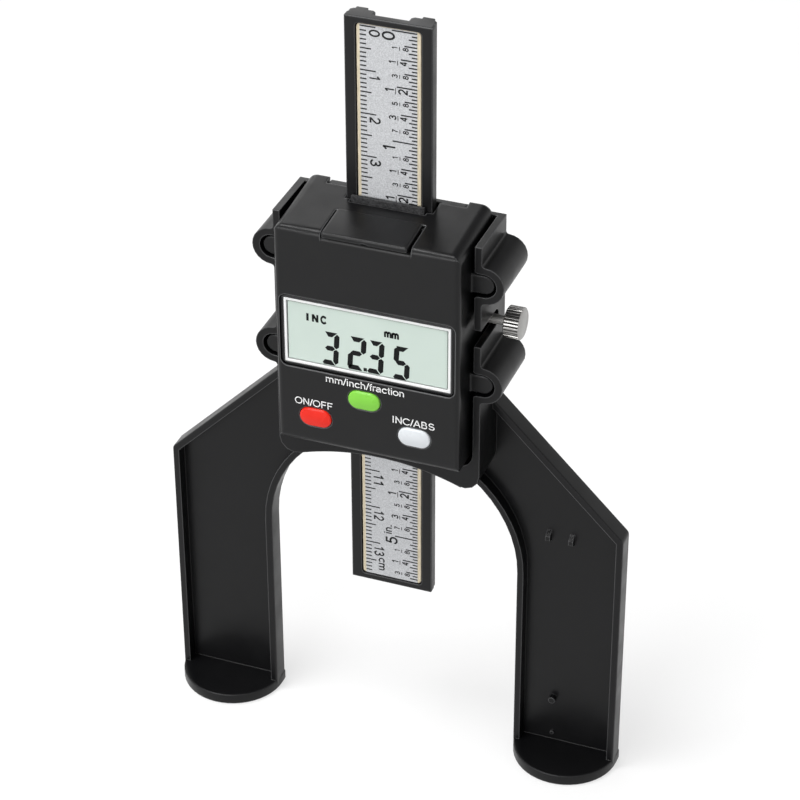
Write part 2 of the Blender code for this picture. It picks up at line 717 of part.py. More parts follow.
def key_places():
    return (("power", LEFT_KEY_X, LOWER_KEY_HEIGHT), ("units", MIDDLE_KEY_X, UPPER_KEY_HEIGHT),
            ("mode", RIGHT_KEY_X, LOWER_KEY_HEIGHT))


def side_outline():
    """Side view of the housing: sloping top, filleted front edges and an underside that drops back."""
    slope_end = HOUSING_FRONT + SHELL_FRONT_BOTTOM_EDGE + UNDERSIDE_SLOPE_DEPTH
    return rounded([
        (HOUSING_FRONT, HOUSING_BOTTOM + UNDERSIDE_RISE, SHELL_FRONT_BOTTOM_EDGE),
        (slope_end - UNDERSIDE_SLOPE_DEPTH + GAP, HOUSING_BOTTOM + UNDERSIDE_RISE, 0),
        (slope_end, HOUSING_BOTTOM, 0),
        (HOUSING_BACK, HOUSING_BOTTOM, 0),
        (HOUSING_BACK, top_height(HOUSING_BACK), 0),
        (HOUSING_FRONT, HOUSING_TOP, SHELL_TOP_EDGE),
    ])


def build_tabs(shell):
    """Four tabs that slide into the cradle's ears and take its screws, filleted into the shell's sides."""
    front = CRADLE_FRONT + TAB_SETBACK
    inside = HOUSING_HALF - SHELL_WALL / 2
    toe = HOUSING_HALF - TAB_SINK + TAB_FLARE
    heel = front + TAB_SINK - TAB_FLARE
    fillet = arc((toe, heel), TAB_FLARE, 180, 90, CORNER_STEPS)
    fillet += [(toe, front + TAB_FLARE), (inside, front + TAB_FLARE), (inside, heel)]
    reach = TAB_RADIUS - TAB_EDGE
    for side, height in four_places(1, EAR_HEIGHTS):
        tab = plate("tab", flared_outline(side, HOUSING_HALF, TAB_RADIUS), "XZ", front, HOUSING_BACK,
                    at=(0, 0, height))
        bevel(tab, TAB_EDGE)
        join(shell, tab, plate("tab_fillet", [(side * u, v) for u, v in fillet], "XY",
                               height - reach, height + reach))


def door_pocket():
    """Seat of the battery door: a sloping floor that rounds over into the front face."""
    back = HOUSING_FRONT - DOOR_OVERHANG + DOOR_DEPTH + GAP
    low = POCKET_FLOOR - DOOR_POCKET_EDGE
    outline = [(HOUSING_FRONT - OVERRUN, low)]
    outline += arc((HOUSING_FRONT + DOOR_POCKET_EDGE, low), DOOR_POCKET_EDGE, 180, 90, CORNER_STEPS)
    rise = (back - HOUSING_FRONT) * TOP_SLOPE_SHARE
    outline += [(back, POCKET_FLOOR + rise), (back, top_height(HOUSING_BACK) + OVERRUN),
                (HOUSING_FRONT - OVERRUN, top_height(HOUSING_BACK) + OVERRUN)]
    return plate("door_pocket", outline, "YZ", -DOOR_WIDTH / 2 - DOOR_SIDE_GAP, DOOR_WIDTH / 2 + DOOR_SIDE_GAP)


def holder_half_width():
    return CELL_DIAMETER / 2 + GAP + HOLDER_SIDE_WALL


def build_shell(plastic):
    shell = plate("housing_shell", rounded([
        (-HOUSING_HALF, HOUSING_BOTTOM, SHELL_BOTTOM_CORNER),
        (HOUSING_HALF, HOUSING_BOTTOM, SHELL_BOTTOM_CORNER),
        (HOUSING_HALF, top_height(HOUSING_BACK), SHELL_TOP_CORNER),
        (-HOUSING_HALF, top_height(HOUSING_BACK), SHELL_TOP_CORNER),
    ]), "XZ", HOUSING_FRONT, HOUSING_BACK)
    keep(shell, plate("side_view", side_outline(), "YZ", -HOUSING_HALF - OVERRUN, HOUSING_HALF + OVERRUN))
    keep(shell, plate("plan_view", rounded([
        (-HOUSING_HALF, HOUSING_FRONT, SHELL_SIDE_EDGE), (HOUSING_HALF, HOUSING_FRONT, SHELL_SIDE_EDGE),
        (HOUSING_HALF, HOUSING_BACK + OVERRUN, 0), (-HOUSING_HALF, HOUSING_BACK + OVERRUN, 0),
    ]), "XY", HOUSING_BOTTOM - OVERRUN, top_height(HOUSING_BACK) + OVERRUN))
    build_tabs(shell)
    cut(shell, box("cavity", (-CAVITY_HALF, CAVITY_HALF), (WALL_BACK, HOUSING_BACK + OVERRUN),
                   (CAVITY_BOTTOM, CAVITY_TOP)))
    add_bosses(shell)
    cut_front(shell)
    cut_ends(shell)
    cut_screw_holes(shell)
    paint(shell, plastic)


def boss_places():
    """Lower and upper heights of the bosses for the boards and for the back cover."""
    board = (CAVITY_BOTTOM + BOARD_BOSS_DIAMETER / 2 + GAP, DISPLAY_BOTTOM - BOARD_BOSS_DIAMETER / 2 - GAP)
    cover = (CAVITY_BOTTOM + COVER_BOSS_END_GAP, CAVITY_TOP - COVER_BOSS_END_GAP)
    return board, cover


def add_bosses(shell):
    """Screw bosses inside the shell, and the boss that carries the lock screw's insert."""
    board_heights, cover_heights = boss_places()
    for place in four_places(BOARD_BOSS_X, board_heights):
        join(shell, cylinder("board_boss", "Y", WALL_BACK - GAP, display_board_front() - GAP,
                             BOARD_BOSS_DIAMETER / 2, place, FINE_SIDES))
    for place in four_places(COVER_BOSS_X, cover_heights):
        join(shell, cylinder("cover_boss", "Y", COVER_FRONT - GAP - COVER_BOSS_LENGTH, COVER_FRONT - GAP,
                             COVER_BOSS_DIAMETER / 2, place, FINE_SIDES))
    join(shell, cylinder("lock_boss", "X", CAVITY_HALF - LOCK_BOSS_LENGTH, CAVITY_HALF + SHELL_WALL / 2,
                         LOCK_BOSS_DIAMETER / 2, (LOCK_DEPTH, LOCK_HEIGHT)))
    cut(shell, cylinder("insert_bore", "X", CAVITY_HALF - LOCK_BOSS_LENGTH - OVERRUN, HOUSING_HALF + OVERRUN,
                        insert_radius() + HAIR_GAP, (LOCK_DEPTH, LOCK_HEIGHT)))


def cut_front(shell):
    """Display window with its shallow recess, and the three key holes."""
    half = DISPLAY_WIDTH / 2
    margin = DISPLAY_RECESS_MARGIN
    cut(shell, box("display_hole", (-half - HAIR_GAP, half + HAIR_GAP),
                   (HOUSING_FRONT - OVERRUN, WALL_BACK + OVERRUN),
                   (DISPLAY_BOTTOM - HAIR_GAP, DISPLAY_TOP + HAIR_GAP)))
    cut(shell, plate("display_recess", rectangle(-half - margin, half + margin, DISPLAY_BOTTOM - margin,
                                                 DISPLAY_TOP + margin, DISPLAY_RECESS_CORNER),
                     "XZ", HOUSING_FRONT - OVERRUN, HOUSING_FRONT + DISPLAY_RECESS_DEPTH))
    for name, x, height in key_places():
        cut(shell, plate("key_hole_" + name, capsule(KEY_WIDTH + 2 * HAIR_GAP, KEY_HEIGHT + 2 * HAIR_GAP),
                         "XZ", HOUSING_FRONT - OVERRUN, WALL_BACK + OVERRUN, at=(x, 0, height)))


def cut_ends(shell):
    """Openings in the top and the bottom: beam, wiper, back cover tongues and battery bay."""
    low = HOUSING_BOTTOM - OVERRUN
    high = top_height(HOUSING_BACK) + OVERRUN
    cut(shell, box("beam_channel", (-CHANNEL_HALF, CHANNEL_HALF), (SENSOR_BACK, HOUSING_BACK + OVERRUN),
                   (low, high)))
    cut(shell, box("tongue_notch", (-TONGUE_WIDTH / 2 - GAP, TONGUE_WIDTH / 2 + GAP),
                   (COVER_FRONT - GAP, HOUSING_BACK + OVERRUN), (low, high)))
    wiper_front = SENSOR_BACK - WIPER_THICKNESS - GAP
    cut(shell, box("wiper_slot", (-WIPER_WIDTH / 2 - GAP, WIPER_WIDTH / 2 + GAP),
                   (wiper_front, SENSOR_BACK + GAP), (CAVITY_TOP - GAP, high)))
    cut(shell, door_pocket())
    cut(shell, box("bay_mouth", (-holder_half_width(), holder_half_width()),
                   (WALL_BACK, HOLDER_BACK - HOLDER_WALL), (CAVITY_TOP - GAP, high)))


def cut_screw_holes(shell):
    board_heights, cover_heights = boss_places()
    for place in four_places(TAB_CENTRE, EAR_HEIGHTS):
        cut(shell, cylinder("tab_bore", "Y", TRAY_BACK - TRAY_SCREW_LENGTH - GAP, HOUSING_BACK + OVERRUN,
                            TRAY_SCREW_DIAMETER / 2 + GAP, place, FINE_SIDES))
    board_screw_end = display_board_back() + SMALL_SCREW_HEAD_DEPTH + GAP - BOARD_SCREW_LENGTH
    for place in four_places(BOARD_BOSS_X, board_heights):
        cut(shell, cylinder("board_bore", "Y", board_screw_end - GAP, display_board_front() + OVERRUN,
                            SMALL_SCREW_DIAMETER / 2 + HAIR_GAP, place, FINE_SIDES))
    for place in four_places(COVER_BOSS_X, cover_heights):
        cut(shell, cylinder("cover_bore", "Y", HOUSING_BACK - COVER_SCREW_LENGTH - GAP,
                            COVER_FRONT + OVERRUN, SMALL_SCREW_DIAMETER / 2 + HAIR_GAP, place, FINE_SIDES))


def build_back_cover(plastic):
    """Back plate with a tongue at each end, a channel for the beam and two walls that guide it."""
    half = CAVITY_HALF - GAP
    cover = box("back_cover", (-half, half), (COVER_FRONT, HOUSING_BACK),
                (CAVITY_BOTTOM + GAP, CAVITY_TOP - GAP))
    join(cover, box("cover_tongue", (-TONGUE_WIDTH / 2, TONGUE_WIDTH / 2), (COVER_FRONT, HOUSING_BACK),
                    (HOUSING_BOTTOM + GAP, top_height(HOUSING_BACK) - TONGUE_DROP)))
    wall_low = CAVITY_BOTTOM + GAP
    wall_high = CAVITY_TOP - GAP
    wall_front = SENSOR_BACK + GAP
    left = -CHANNEL_HALF - SPRING_POCKET + GAP
    join(cover, box("right_guide", (CHANNEL_HALF, CHANNEL_HALF + GUIDE_WALL), (wall_front, COVER_FRONT + GAP),
                    (wall_low, wall_high)))
    join(cover, box("left_guide", (left - GUIDE_WALL, left), (wall_front, COVER_FRONT + GAP),
                    (wall_low, wall_high)))
    cut(cover, box("channel", (left, CHANNEL_HALF), (COVER_FRONT - OVERRUN, BEAM_BACK + GAP),
                   (HOUSING_BOTTOM - OVERRUN, top_height(HOUSING_BACK) + OVERRUN)))
    cut(cover, cylinder("pad_hole", "X", CHANNEL_HALF - OVERRUN, CHANNEL_HALF + GUIDE_WALL + OVERRUN,
                        PAD_DIAMETER / 2 + GAP, (LOCK_DEPTH, LOCK_HEIGHT), FINE_SIDES))
    for place in four_places(COVER_BOSS_X, boss_places()[1]):
        cut(cover, cylinder("cover_hole", "Y", COVER_FRONT - OVERRUN, HOUSING_BACK + OVERRUN,
                            SMALL_SCREW_DIAMETER / 2 + GAP, place, FINE_SIDES))
        cut(cover, cylinder("cover_seat", "Y", HOUSING_BACK - SMALL_SCREW_HEAD_DEPTH - GAP,
                            HOUSING_BACK + OVERRUN, SMALL_SCREW_HEAD / 2 + HAIR_GAP, place, FINE_SIDES))
    paint(cover, plastic)


def pan_screw_profile(length):
    """Small screw with a flat round head, which faces the local +Z."""
    head = SMALL_SCREW_HEAD / 2
    shank = SMALL_SCREW_DIAMETER / 2
    return [(0, 0), (head, 0), (head, -SMALL_SCREW_HEAD_DEPTH), (shank, -SMALL_SCREW_HEAD_DEPTH),
            (shank, -length + shank), (0, -length)]


def build_small_screws(steel):
    board_heights, cover_heights = boss_places()
    for i, (x, height) in enumerate(four_places(COVER_BOSS_X, cover_heights)):
        screw = turned("cover_screw_" + str(i + 1), pan_screw_profile(COVER_SCREW_LENGTH),
                       (x, HOUSING_BACK, height), "Y", FINE_SIDES)
        paint(screw, steel)
    head_face = display_board_back() + SMALL_SCREW_HEAD_DEPTH + GAP
    for i, (x, height) in enumerate(four_places(BOARD_BOSS_X, board_heights)):
        screw = turned("board_screw_" + str(i + 1), pan_screw_profile(BOARD_SCREW_LENGTH),
                       (x, head_face, height), "Y", FINE_SIDES)
        paint(screw, steel)


# Display and boards

def display_frame_front():
    return HOUSING_FRONT + DISPLAY_SETBACK


def display_frame_back():
    return display_frame_front() + DISPLAY_FRAME_DEPTH


def display_board_front():
    return display_frame_back() + GAP + ZEBRA_DEPTH + GAP


def display_board_back():
    return display_board_front() + BOARD_THICKNESS


def build_display(white, glass, rubber):
    half = DISPLAY_WIDTH / 2
    wall = DISPLAY_FRAME_WALL
    front = display_frame_front()
    frame = plate("lcd_frame", rectangle(-half, half, DISPLAY_BOTTOM, DISPLAY_TOP), "XZ", front,
                  display_frame_back())
    cut(frame, box("frame_window", (-half + wall, half - wall), (front - OVERRUN, display_frame_back() + OVERRUN),
                   (DISPLAY_BOTTOM + wall, DISPLAY_TOP - wall)))
    paint(frame, white)
    inner = wall + HAIR_GAP
    glass_front = front + GLASS_SETBACK
    for name in ("lcd_front_glass", "lcd_rear_glass"):
        pane = box(name, (-half + inner, half - inner), (glass_front, glass_front + GLASS_THICKNESS),
                   (DISPLAY_BOTTOM + inner, DISPLAY_TOP - inner))
        paint(pane, glass)
        glass_front += GLASS_THICKNESS + HAIR_GAP
    zebra_low = DISPLAY_BOTTOM + inner
    zebra_front = glass_front - HAIR_GAP + GAP
    zebra = box("zebra_strip", (-half + 2 * inner, half - 2 * inner), (zebra_front, display_board_front() - GAP),
                (zebra_low, zebra_low + ZEBRA_HEIGHT))
    paint(zebra, rubber)


def build_boards(laminate, black, rubber):
    half = CAVITY_HALF - GAP
    display_board = box("display_board", (-half, half), (display_board_front(), display_board_back()),
                        (CAVITY_BOTTOM + GAP, DISPLAY_TOP + GAP))
    for place in four_places(BOARD_BOSS_X, boss_places()[0]):
        cut(display_board, cylinder("board_hole", "Y", display_board_front() - OVERRUN,
                                    display_board_back() + OVERRUN, SMALL_SCREW_DIAMETER / 2 + HAIR_GAP,
                                    place, FINE_SIDES))
    paint(display_board, laminate)
    build_key_mat(rubber)
    sensor_half = SENSOR_BOARD_WIDTH / 2
    sensor_low = CAVITY_BOTTOM + GAP
    sensor_board = box("sensor_board", (-sensor_half, sensor_half), (SENSOR_FRONT, SENSOR_BACK),
                       (sensor_low, wiper_bottom() - GAP))
    paint(sensor_board, laminate)
    chip = box("encoder_chip", (-CHIP_WIDTH / 2, CHIP_WIDTH / 2), (CHIP_FRONT, SENSOR_FRONT - GAP),
               (sensor_low + CHIP_RISE, sensor_low + CHIP_RISE + CHIP_WIDTH))
    bevel(chip, HAIR_GAP, 1)
    paint(chip, black)
    link = box("board_connector", (-LINK_OUTSET - LINK_WIDTH / 2, -LINK_OUTSET + LINK_WIDTH / 2),
               (display_board_back() + GAP, SENSOR_FRONT - GAP), (sensor_low + GAP, sensor_low + GAP + LINK_HEIGHT))
    paint(link, black)


def key_stem_back():
    return WALL_BACK + GAP + KEY_FLANGE_THICKNESS


def build_key_mat(rubber):
    """Rubber sheet on the display board with a dome behind each key."""
    reach = BOARD_BOSS_X - BOARD_BOSS_DIAMETER / 2 - GAP
    sheet_back = display_board_front() - GAP
    sheet_front = sheet_back - MAT_THICKNESS
    margin = (KEY_HEIGHT + DOME_DIAMETER) / 4
    mat = box("key_mat", (-reach, reach), (sheet_front, sheet_back),
              (LOWER_KEY_HEIGHT - margin, UPPER_KEY_HEIGHT + margin))
    dome_front = key_stem_back() + KEY_TRAVEL + HAIR_GAP
    for name, x, height in key_places():
        join(mat, cone("dome_" + name, "Y", dome_front, sheet_front + GAP, DOME_DIAMETER / 4,
                       DOME_DIAMETER / 2, (x, height), FINE_SIDES))
    paint(mat, rubber)


def build_keys(finishes):
    for (name, x, height), finish in zip(key_places(), finishes):
        front = HOUSING_FRONT - KEY_PROUD
        cap = plate("button_" + name, capsule(KEY_WIDTH, KEY_HEIGHT), "XZ", front, WALL_BACK + GAP + GAP,
                    at=(x, 0, height))
        bevel(cap, KEY_EDGE)
        flange = plate("flange_" + name, capsule(KEY_WIDTH + 2 * KEY_FLANGE, KEY_HEIGHT + 2 * KEY_FLANGE), "XZ",
                       WALL_BACK + GAP, key_stem_back(), at=(x, 0, height))
        join(cap, flange)
        paint(cap, finish)


# Battery bay

def build_battery(plastic, steel, brass):
    half = holder_half_width()
    bore = CELL_DIAMETER / 2 + GAP
    holder_top = CELL_TOP - CELL_EDGE
    pocket_back = HOLDER_BACK - HOLDER_WALL
    holder = box("battery_holder", (-half, half), (WALL_BACK + GAP, HOLDER_BACK), (HOLDER_BOTTOM, holder_top))
    outline = arc((0, 0), bore, 180, 360, EAR_STEPS)
    outline += [(bore, CELL_DIAMETER), (-bore, CELL_DIAMETER)]
    cut(holder, plate("cell_pocket", outline, "XZ", WALL_BACK - OVERRUN, pocket_back, at=(0, 0, CELL_MIDDLE)))
    paint(holder, plastic)
    radius = CELL_DIAMETER / 2
    step = radius - 2 * CELL_EDGE
    cell = turned("button_cell", [
        (0, CELL_THICKNESS / 2), (step, CELL_THICKNESS / 2), (step, CELL_THICKNESS / 2 - CELL_EDGE),
        (radius - CELL_EDGE, CELL_THICKNESS / 2 - CELL_EDGE), (radius, CELL_THICKNESS / 2 - 2 * CELL_EDGE),
        (radius, -CELL_THICKNESS / 2 + CELL_EDGE), (radius - CELL_EDGE, -CELL_THICKNESS / 2),
        (0, -CELL_THICKNESS / 2),
    ], (0, (CELL_FRONT + CELL_BACK) / 2, CELL_MIDDLE), "Y")
    paint(cell, steel)
    low = CELL_MIDDLE - radius / 2
    for name, front in (("battery_contact_front", WALL_BACK + GAP), ("battery_contact_rear", CELL_BACK + GAP)):
        strip = box(name, (-CONTACT_WIDTH / 2, CONTACT_WIDTH / 2), (front, front + CONTACT_THICKNESS),
                    (low, CELL_TOP - GAP))
        paint(strip, brass)


def build_door(plastic):
    """Battery door: a sloping lid whose front lip hangs over the housing, with a plug below it."""
    half = DOOR_WIDTH / 2
    front = HOUSING_FRONT - DOOR_OVERHANG
    back = front + DOOR_DEPTH
    lift = -DOOR_OVERHANG * TOP_SLOPE_SHARE
    rise = (back - HOUSING_FRONT) * TOP_SLOPE_SHARE
    outline = [(front, lift), (back, rise), (back, rise + DOOR_THICKNESS), (front, lift + DOOR_THICKNESS)]
    door = plate("battery_door", outline, "YZ", -half, half, at=(0, 0, DOOR_UNDERSIDE))
    bevel(door, DOOR_EDGE)
    plug_half = CELL_DIAMETER / 2
    plug = box("door_plug", (-plug_half, plug_half), (WALL_BACK + GAP, HOLDER_BACK - HOLDER_WALL - GAP),
               (DOOR_UNDERSIDE - PLUG_LENGTH, DOOR_UNDERSIDE + DOOR_THICKNESS / 2))
    join(door, plug)
    cut(door, cylinder("door_notch", "Y", front - OVERRUN, HOUSING_FRONT - GAP, DOOR_NOTCH_WIDTH / 2,
                       (0, DOOR_UNDERSIDE + lift + DOOR_NOTCH_HEIGHT - DOOR_NOTCH_WIDTH / 2), FINE_SIDES))
    cut(door, box("plug_hollow", (-plug_half + PLUG_WALL, plug_half - PLUG_WALL),
                  (WALL_BACK + GAP + PLUG_WALL, HOLDER_BACK - HOLDER_WALL - GAP - PLUG_WALL),
                  (DOOR_UNDERSIDE - PLUG_LENGTH - OVERRUN, DOOR_UNDERSIDE)))
    paint(door, plastic)


# Guide, lock and wiper

def insert_radius():
    return SHAFT_DIAMETER / 2 + HAIR_GAP + INSERT_WALL


def build_lock(steel, brass, nylon):
    place = (LOCK_DEPTH, LOCK_HEIGHT)
    insert = cylinder("lock_insert", "X", HOUSING_HALF - INSERT_LENGTH, HOUSING_HALF, insert_radius(), place)
    cut(insert, cylinder("insert_hole", "X", HOUSING_HALF - INSERT_LENGTH - OVERRUN, HOUSING_HALF + OVERRUN,
                         SHAFT_DIAMETER / 2 + HAIR_GAP, place))
    paint(insert, brass)
    pad_end = CHANNEL_HALF + GAP / 6 + PAD_LENGTH
    pad = cylinder("lock_pad", "X", pad_end - PAD_LENGTH, pad_end, PAD_DIAMETER / 2, place, FINE_SIDES)
    paint(pad, nylon)
    knob_start = CRADLE_HALF + KNOB_STANDOFF
    ridges = []
    for i in range(2 * KNURL_COUNT):
        angle = math.pi * i / KNURL_COUNT
        radius = KNOB_DIAMETER / 2 - KNURL_DEPTH * (i % 2)
        ridges.append((radius * math.cos(angle), radius * math.sin(angle)))
    screw = plate("lock_screw", ridges, "YZ", knob_start - GAP, knob_start + KNOB_LENGTH + GAP, at=(0, *place))
    ends = turned("knob_ends", [(0, KNOB_LENGTH / 2), (KNOB_DIAMETER / 2 - KNOB_EDGE, KNOB_LENGTH / 2),
                                (KNOB_DIAMETER / 2 + GAP, KNOB_LENGTH / 2 - KNOB_EDGE - GAP),
                                (KNOB_DIAMETER / 2 + GAP, -KNOB_LENGTH / 2 + KNOB_EDGE + GAP),
                                (KNOB_DIAMETER / 2 - KNOB_EDGE, -KNOB_LENGTH / 2), (0, -KNOB_LENGTH / 2)],
                  (knob_start + KNOB_LENGTH / 2, *place), "X", 2 * ROUND_SIDES)
    keep(screw, ends)
    join(screw, cylinder("lock_shaft", "X", pad_end + HAIR_GAP, knob_start + KNOB_LENGTH / 2,
                         SHAFT_DIAMETER / 2, place))
    paint(screw, steel)


def build_spring(steel):
    """Bowed leaf between the left guide wall and the beam."""
    rest = -CHANNEL_HALF - SPRING_POCKET + GAP + GAP
    steps = 2 * CORNER_STEPS
    outer = []
    for i in range(steps + 1):
        share = 2 * i / steps - 1
        outer.append((rest + SPRING_BOW * (1 - share ** 2), share * SPRING_LENGTH / 2))
    inner = [(x + SPRING_THICKNESS, z) for x, z in reversed(outer)]
    depth = (RAIL_DEPTH - SPRING_WIDTH) / 2 - FLANGE_PROUD
    spring = plate("guide_spring", outer + inner, "XZ", depth, depth + SPRING_WIDTH, at=(0, 0, LOCK_HEIGHT))
    paint(spring, steel)


def wiper_bottom():
    return top_height(SENSOR_BACK) + WIPER_PROUD - WIPER_LENGTH


def build_wiper(felt):
    wiper = box("dust_wiper", (-WIPER_WIDTH / 2, WIPER_WIDTH / 2), (SENSOR_BACK - WIPER_THICKNESS, SENSOR_BACK),
                (wiper_bottom(), wiper_bottom() + WIPER_LENGTH))
    paint(wiper, felt)


def main():
    global PARTS, CUTTERS, ROOT
    clear_scene()
    PARTS = new_collection("digital_depth_gauge")
    CUTTERS = new_collection("cutters")
    ROOT = bpy.data.objects.new("gauge_centre", None)
    ROOT.location = (0, CENTRE_SHIFT, 0)
    PARTS.objects.link(ROOT)
    black = new_material("black_abs", (0.020, 0.020, 0.021), 0.45)
    bracket_black = new_material("black_gloss_abs", (0.018, 0.018, 0.019), 0.35)
    steel = new_material("steel", (0.62, 0.61, 0.60), 0.30, 1.0)
    brass = new_material("brass", (0.68, 0.48, 0.20), 0.35, 1.0)
    white = new_material("white_plastic", (0.86, 0.87, 0.87), 0.35)
    glass = new_material("lcd_glass", (0.72, 0.78, 0.74), 0.12)
    rubber = new_material("grey_rubber", (0.12, 0.12, 0.12), 0.75)
    board = new_material("board_green", (0.05, 0.20, 0.08), 0.45)
    tan = new_material("strip_tan", (0.75, 0.66, 0.45), 0.50)
    felt = new_material("felt", (0.05, 0.05, 0.05), 0.95)
    red = new_material("key_red", (0.80, 0.03, 0.02), 0.35)
    green = new_material("key_green", (0.18, 0.65, 0.08), 0.35)
    pale = new_material("key_white", (0.78, 0.80, 0.82), 0.35)
    build_bracket(bracket_black)
    build_magnets(steel)
    build_tray_screws(steel)
    build_shell(black)
    build_back_cover(black)
    build_small_screws(steel)
    build_display(white, glass, rubber)
    build_boards(board, black, rubber)
    build_keys((red, green, pale))
    build_battery(black, steel, brass)
    build_door(black)
    build_beam(black, tan)
    build_lock(steel, brass, white)
    build_spring(steel)
    build_wiper(felt)


main()
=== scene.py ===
"""Looks of the digital depth gauge: materials, housing edges, printed scale, display, keys and screws."""

import json
import math

import bmesh
import bpy
from mathutils import Matrix, Vector


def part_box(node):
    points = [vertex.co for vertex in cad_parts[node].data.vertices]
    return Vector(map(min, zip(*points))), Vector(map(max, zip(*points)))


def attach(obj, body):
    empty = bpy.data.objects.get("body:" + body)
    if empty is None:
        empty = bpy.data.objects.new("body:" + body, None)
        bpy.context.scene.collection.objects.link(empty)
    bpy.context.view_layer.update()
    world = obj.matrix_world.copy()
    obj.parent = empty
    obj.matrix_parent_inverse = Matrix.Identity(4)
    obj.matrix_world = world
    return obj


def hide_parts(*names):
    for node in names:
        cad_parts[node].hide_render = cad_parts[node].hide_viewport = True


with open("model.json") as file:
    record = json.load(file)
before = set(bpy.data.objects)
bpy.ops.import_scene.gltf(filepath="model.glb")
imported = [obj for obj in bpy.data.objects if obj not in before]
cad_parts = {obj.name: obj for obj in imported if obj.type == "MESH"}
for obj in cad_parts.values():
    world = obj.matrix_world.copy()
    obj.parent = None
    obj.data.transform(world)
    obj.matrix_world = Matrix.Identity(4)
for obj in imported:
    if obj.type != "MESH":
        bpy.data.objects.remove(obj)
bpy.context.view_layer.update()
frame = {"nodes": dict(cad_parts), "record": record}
NODES = frame["nodes"]
MM = 0.001

# Planes that the printing lies on
PRINT_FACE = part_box("scale_strip")[0].y
PANEL_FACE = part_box("housing_shell")[0].y
GLASS_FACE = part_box("lcd_front_glass")[0].y
PRINT_THICKNESS = 0.02 * MM

# Printed film on the scale strip
STICKER_LEFT = -6.34 * MM
STICKER_RIGHT = 6.27 * MM
STICKER_BOTTOM = 41.95 * MM
STICKER_TOP = 181.15 * MM
STICKER_CORNER = 0.08 * MM
STICKER_THICKNESS = 0.03 * MM
INK_THICKNESS = 0.015 * MM
INK_FRONT = PRINT_FACE - STICKER_THICKNESS - INK_THICKNESS

# Ticks: how many, and how long in millimetres is one whose number this divides, longest first
INCH = 25.4 * MM
EIGHTHS = 8
SCALE_ZERO = 180.83 * MM
TICK_THICKNESS = 0.31 * MM
METRIC_TICKS = 138
METRIC_LENGTHS = {10: 3.5, 5: 2.5, 1: 1.42}
INCH_TICKS = 174
INCH_LENGTHS = {32: 5.5, 16: 4.5, 8: 3.6, 4: 2.8, 2: 1.85, 1: 1.2}

# Numbers on the scale, in millimetres: a foot is across the beam, a start along it from the number's tick
METRIC_NUMBERS = 14
METRIC_HEIGHT = 2.4
METRIC_FOOT = -4.29
METRIC_CENTRE = 1.35
METRIC_WIDTH = 1.65
METRIC_ONE_WIDTH = 0.85
METRIC_PAIR_WIDTH = 2.75
METRIC_PAIR_START = 0.85
CM_HEIGHT = 1.96
CM_FOOT = -3.25
CM_PLACE = 134.0
INCH_NUMBERS = 6
INCH_HEIGHT = 2.83
INCH_FOOT = 1.38
INCH_WIDTH = 2.0
INCH_ONE_WIDTH = 1.05
INCH_START = 2.35
IN_HEIGHT = 1.93
IN_FOOT = 0.02
IN_WIDTH = 2.46
IN_START = 0.35
FRACTION_GAP = 0.3
FRACTION_BAR = 0.16
FRACTION_WIDTH_SHARE = 0.68
FRACTION_ONE_SHARE = 0.55

# For each denominator: the places across the beam of its two numbers and bar, and the numbers' height
FRACTION_LINES = {8: (1.94, 2.4, 4.35, 1.25), 4: (1.6, 1.97, 4.07, 1.6), 2: (1.17, 1.5, 4.14, 2.05)}

# Stroke widths, as shares of the capitals' height
METRIC_WEIGHT = 0.17
CM_WEIGHT = 0.16
INCH_WEIGHT = 0.165
IN_WEIGHT = 0.17
FRACTION_WEIGHT = 0.19
DISPLAY_WEIGHT = 0.3
LABEL_WEIGHT = 0.13
DOT_SHARE = 1.25

# Display: each digit's lit bars, then its left edge, width and foot in millimetres
DIGITS = (
    ("abgcd", -10.5, 3.75, 106.3),
    ("abged", -4.65, 4.1, 106.35),
    ("abgcd", -0.2, 3.75, 106.3),
    ("afgcd", 5.73, 3.75, 106.15),
)
DIGIT_HEIGHT = 8.3
DIGIT_MIDDLE = 4.2
BAR = 1.2
LEAN = 0.06
POINT_LEFT = -0.88 * MM
POINT_RIGHT = -0.1 * MM
POINT_LOW = 106.45 * MM
POINT_HIGH = 107.3 * MM
POINT_CORNER = 0.06 * MM

# Words on the display and on the panel: their left edge, foot and width in millimetres
DISPLAY_WORDS = (
    ("I", -13.9, 116.4, 0.55),
    ("N", -12.6, 116.4, 1.5),
    ("C", -10.65, 116.4, 1.45),
    ("mm", 3.88, 116.1, 3.4),
)
DISPLAY_WORD_HEIGHT = 1.85 * MM
LABELS = (
    ("mm/inch/fraction", -9.44, 102.15, 18.0),
    ("ON/OFF", -16.84, 95.05, 8.92),
    ("INC/ABS", 5.94, 95.15, 9.63),
)
LABEL_HEIGHT = 1.75 * MM

# Housing: fillets along its front and top, and the bezel round the display
HOUSING_HALF = 21.0 * MM
TOP_SLOPE = 0.0835
TOP_FILLET = 1.4 * MM
SIDE_FILLET = 1.3 * MM
CORNER_FILLET = 2.4 * MM
FILLET_STEPS = 8
BEZEL_REACH = 0.70 * MM
BEZEL_GAP = 0.28 * MM
BEZEL_CORNER = 1.4 * MM
BEZEL_DEPTH = 0.9 * MM
BEZEL_SETBACK = 0.35 * MM
BEZEL_EDGE = 0.15 * MM
FRAME_CLEARANCE = 0.02 * MM

# Tray screws
TRAY_SCREWS = 4
CROSS_WIDTH = 0.42 * MM
CROSS_LENGTH = 1.9 * MM
CROSS_DEPTH = 0.55 * MM

# Keys
KEY_WIDTH = 7.4 * MM
KEY_HEIGHT = 4.5 * MM
KEY_EDGE = 0.45 * MM
KEY_DOME = 0.22 * MM
KEY_FLANGE_THICKNESS = 0.7 * MM
KEY_STEPS = 6
KEY_END_STEPS = 20
KEY_CROWN_SHARE = 0.96

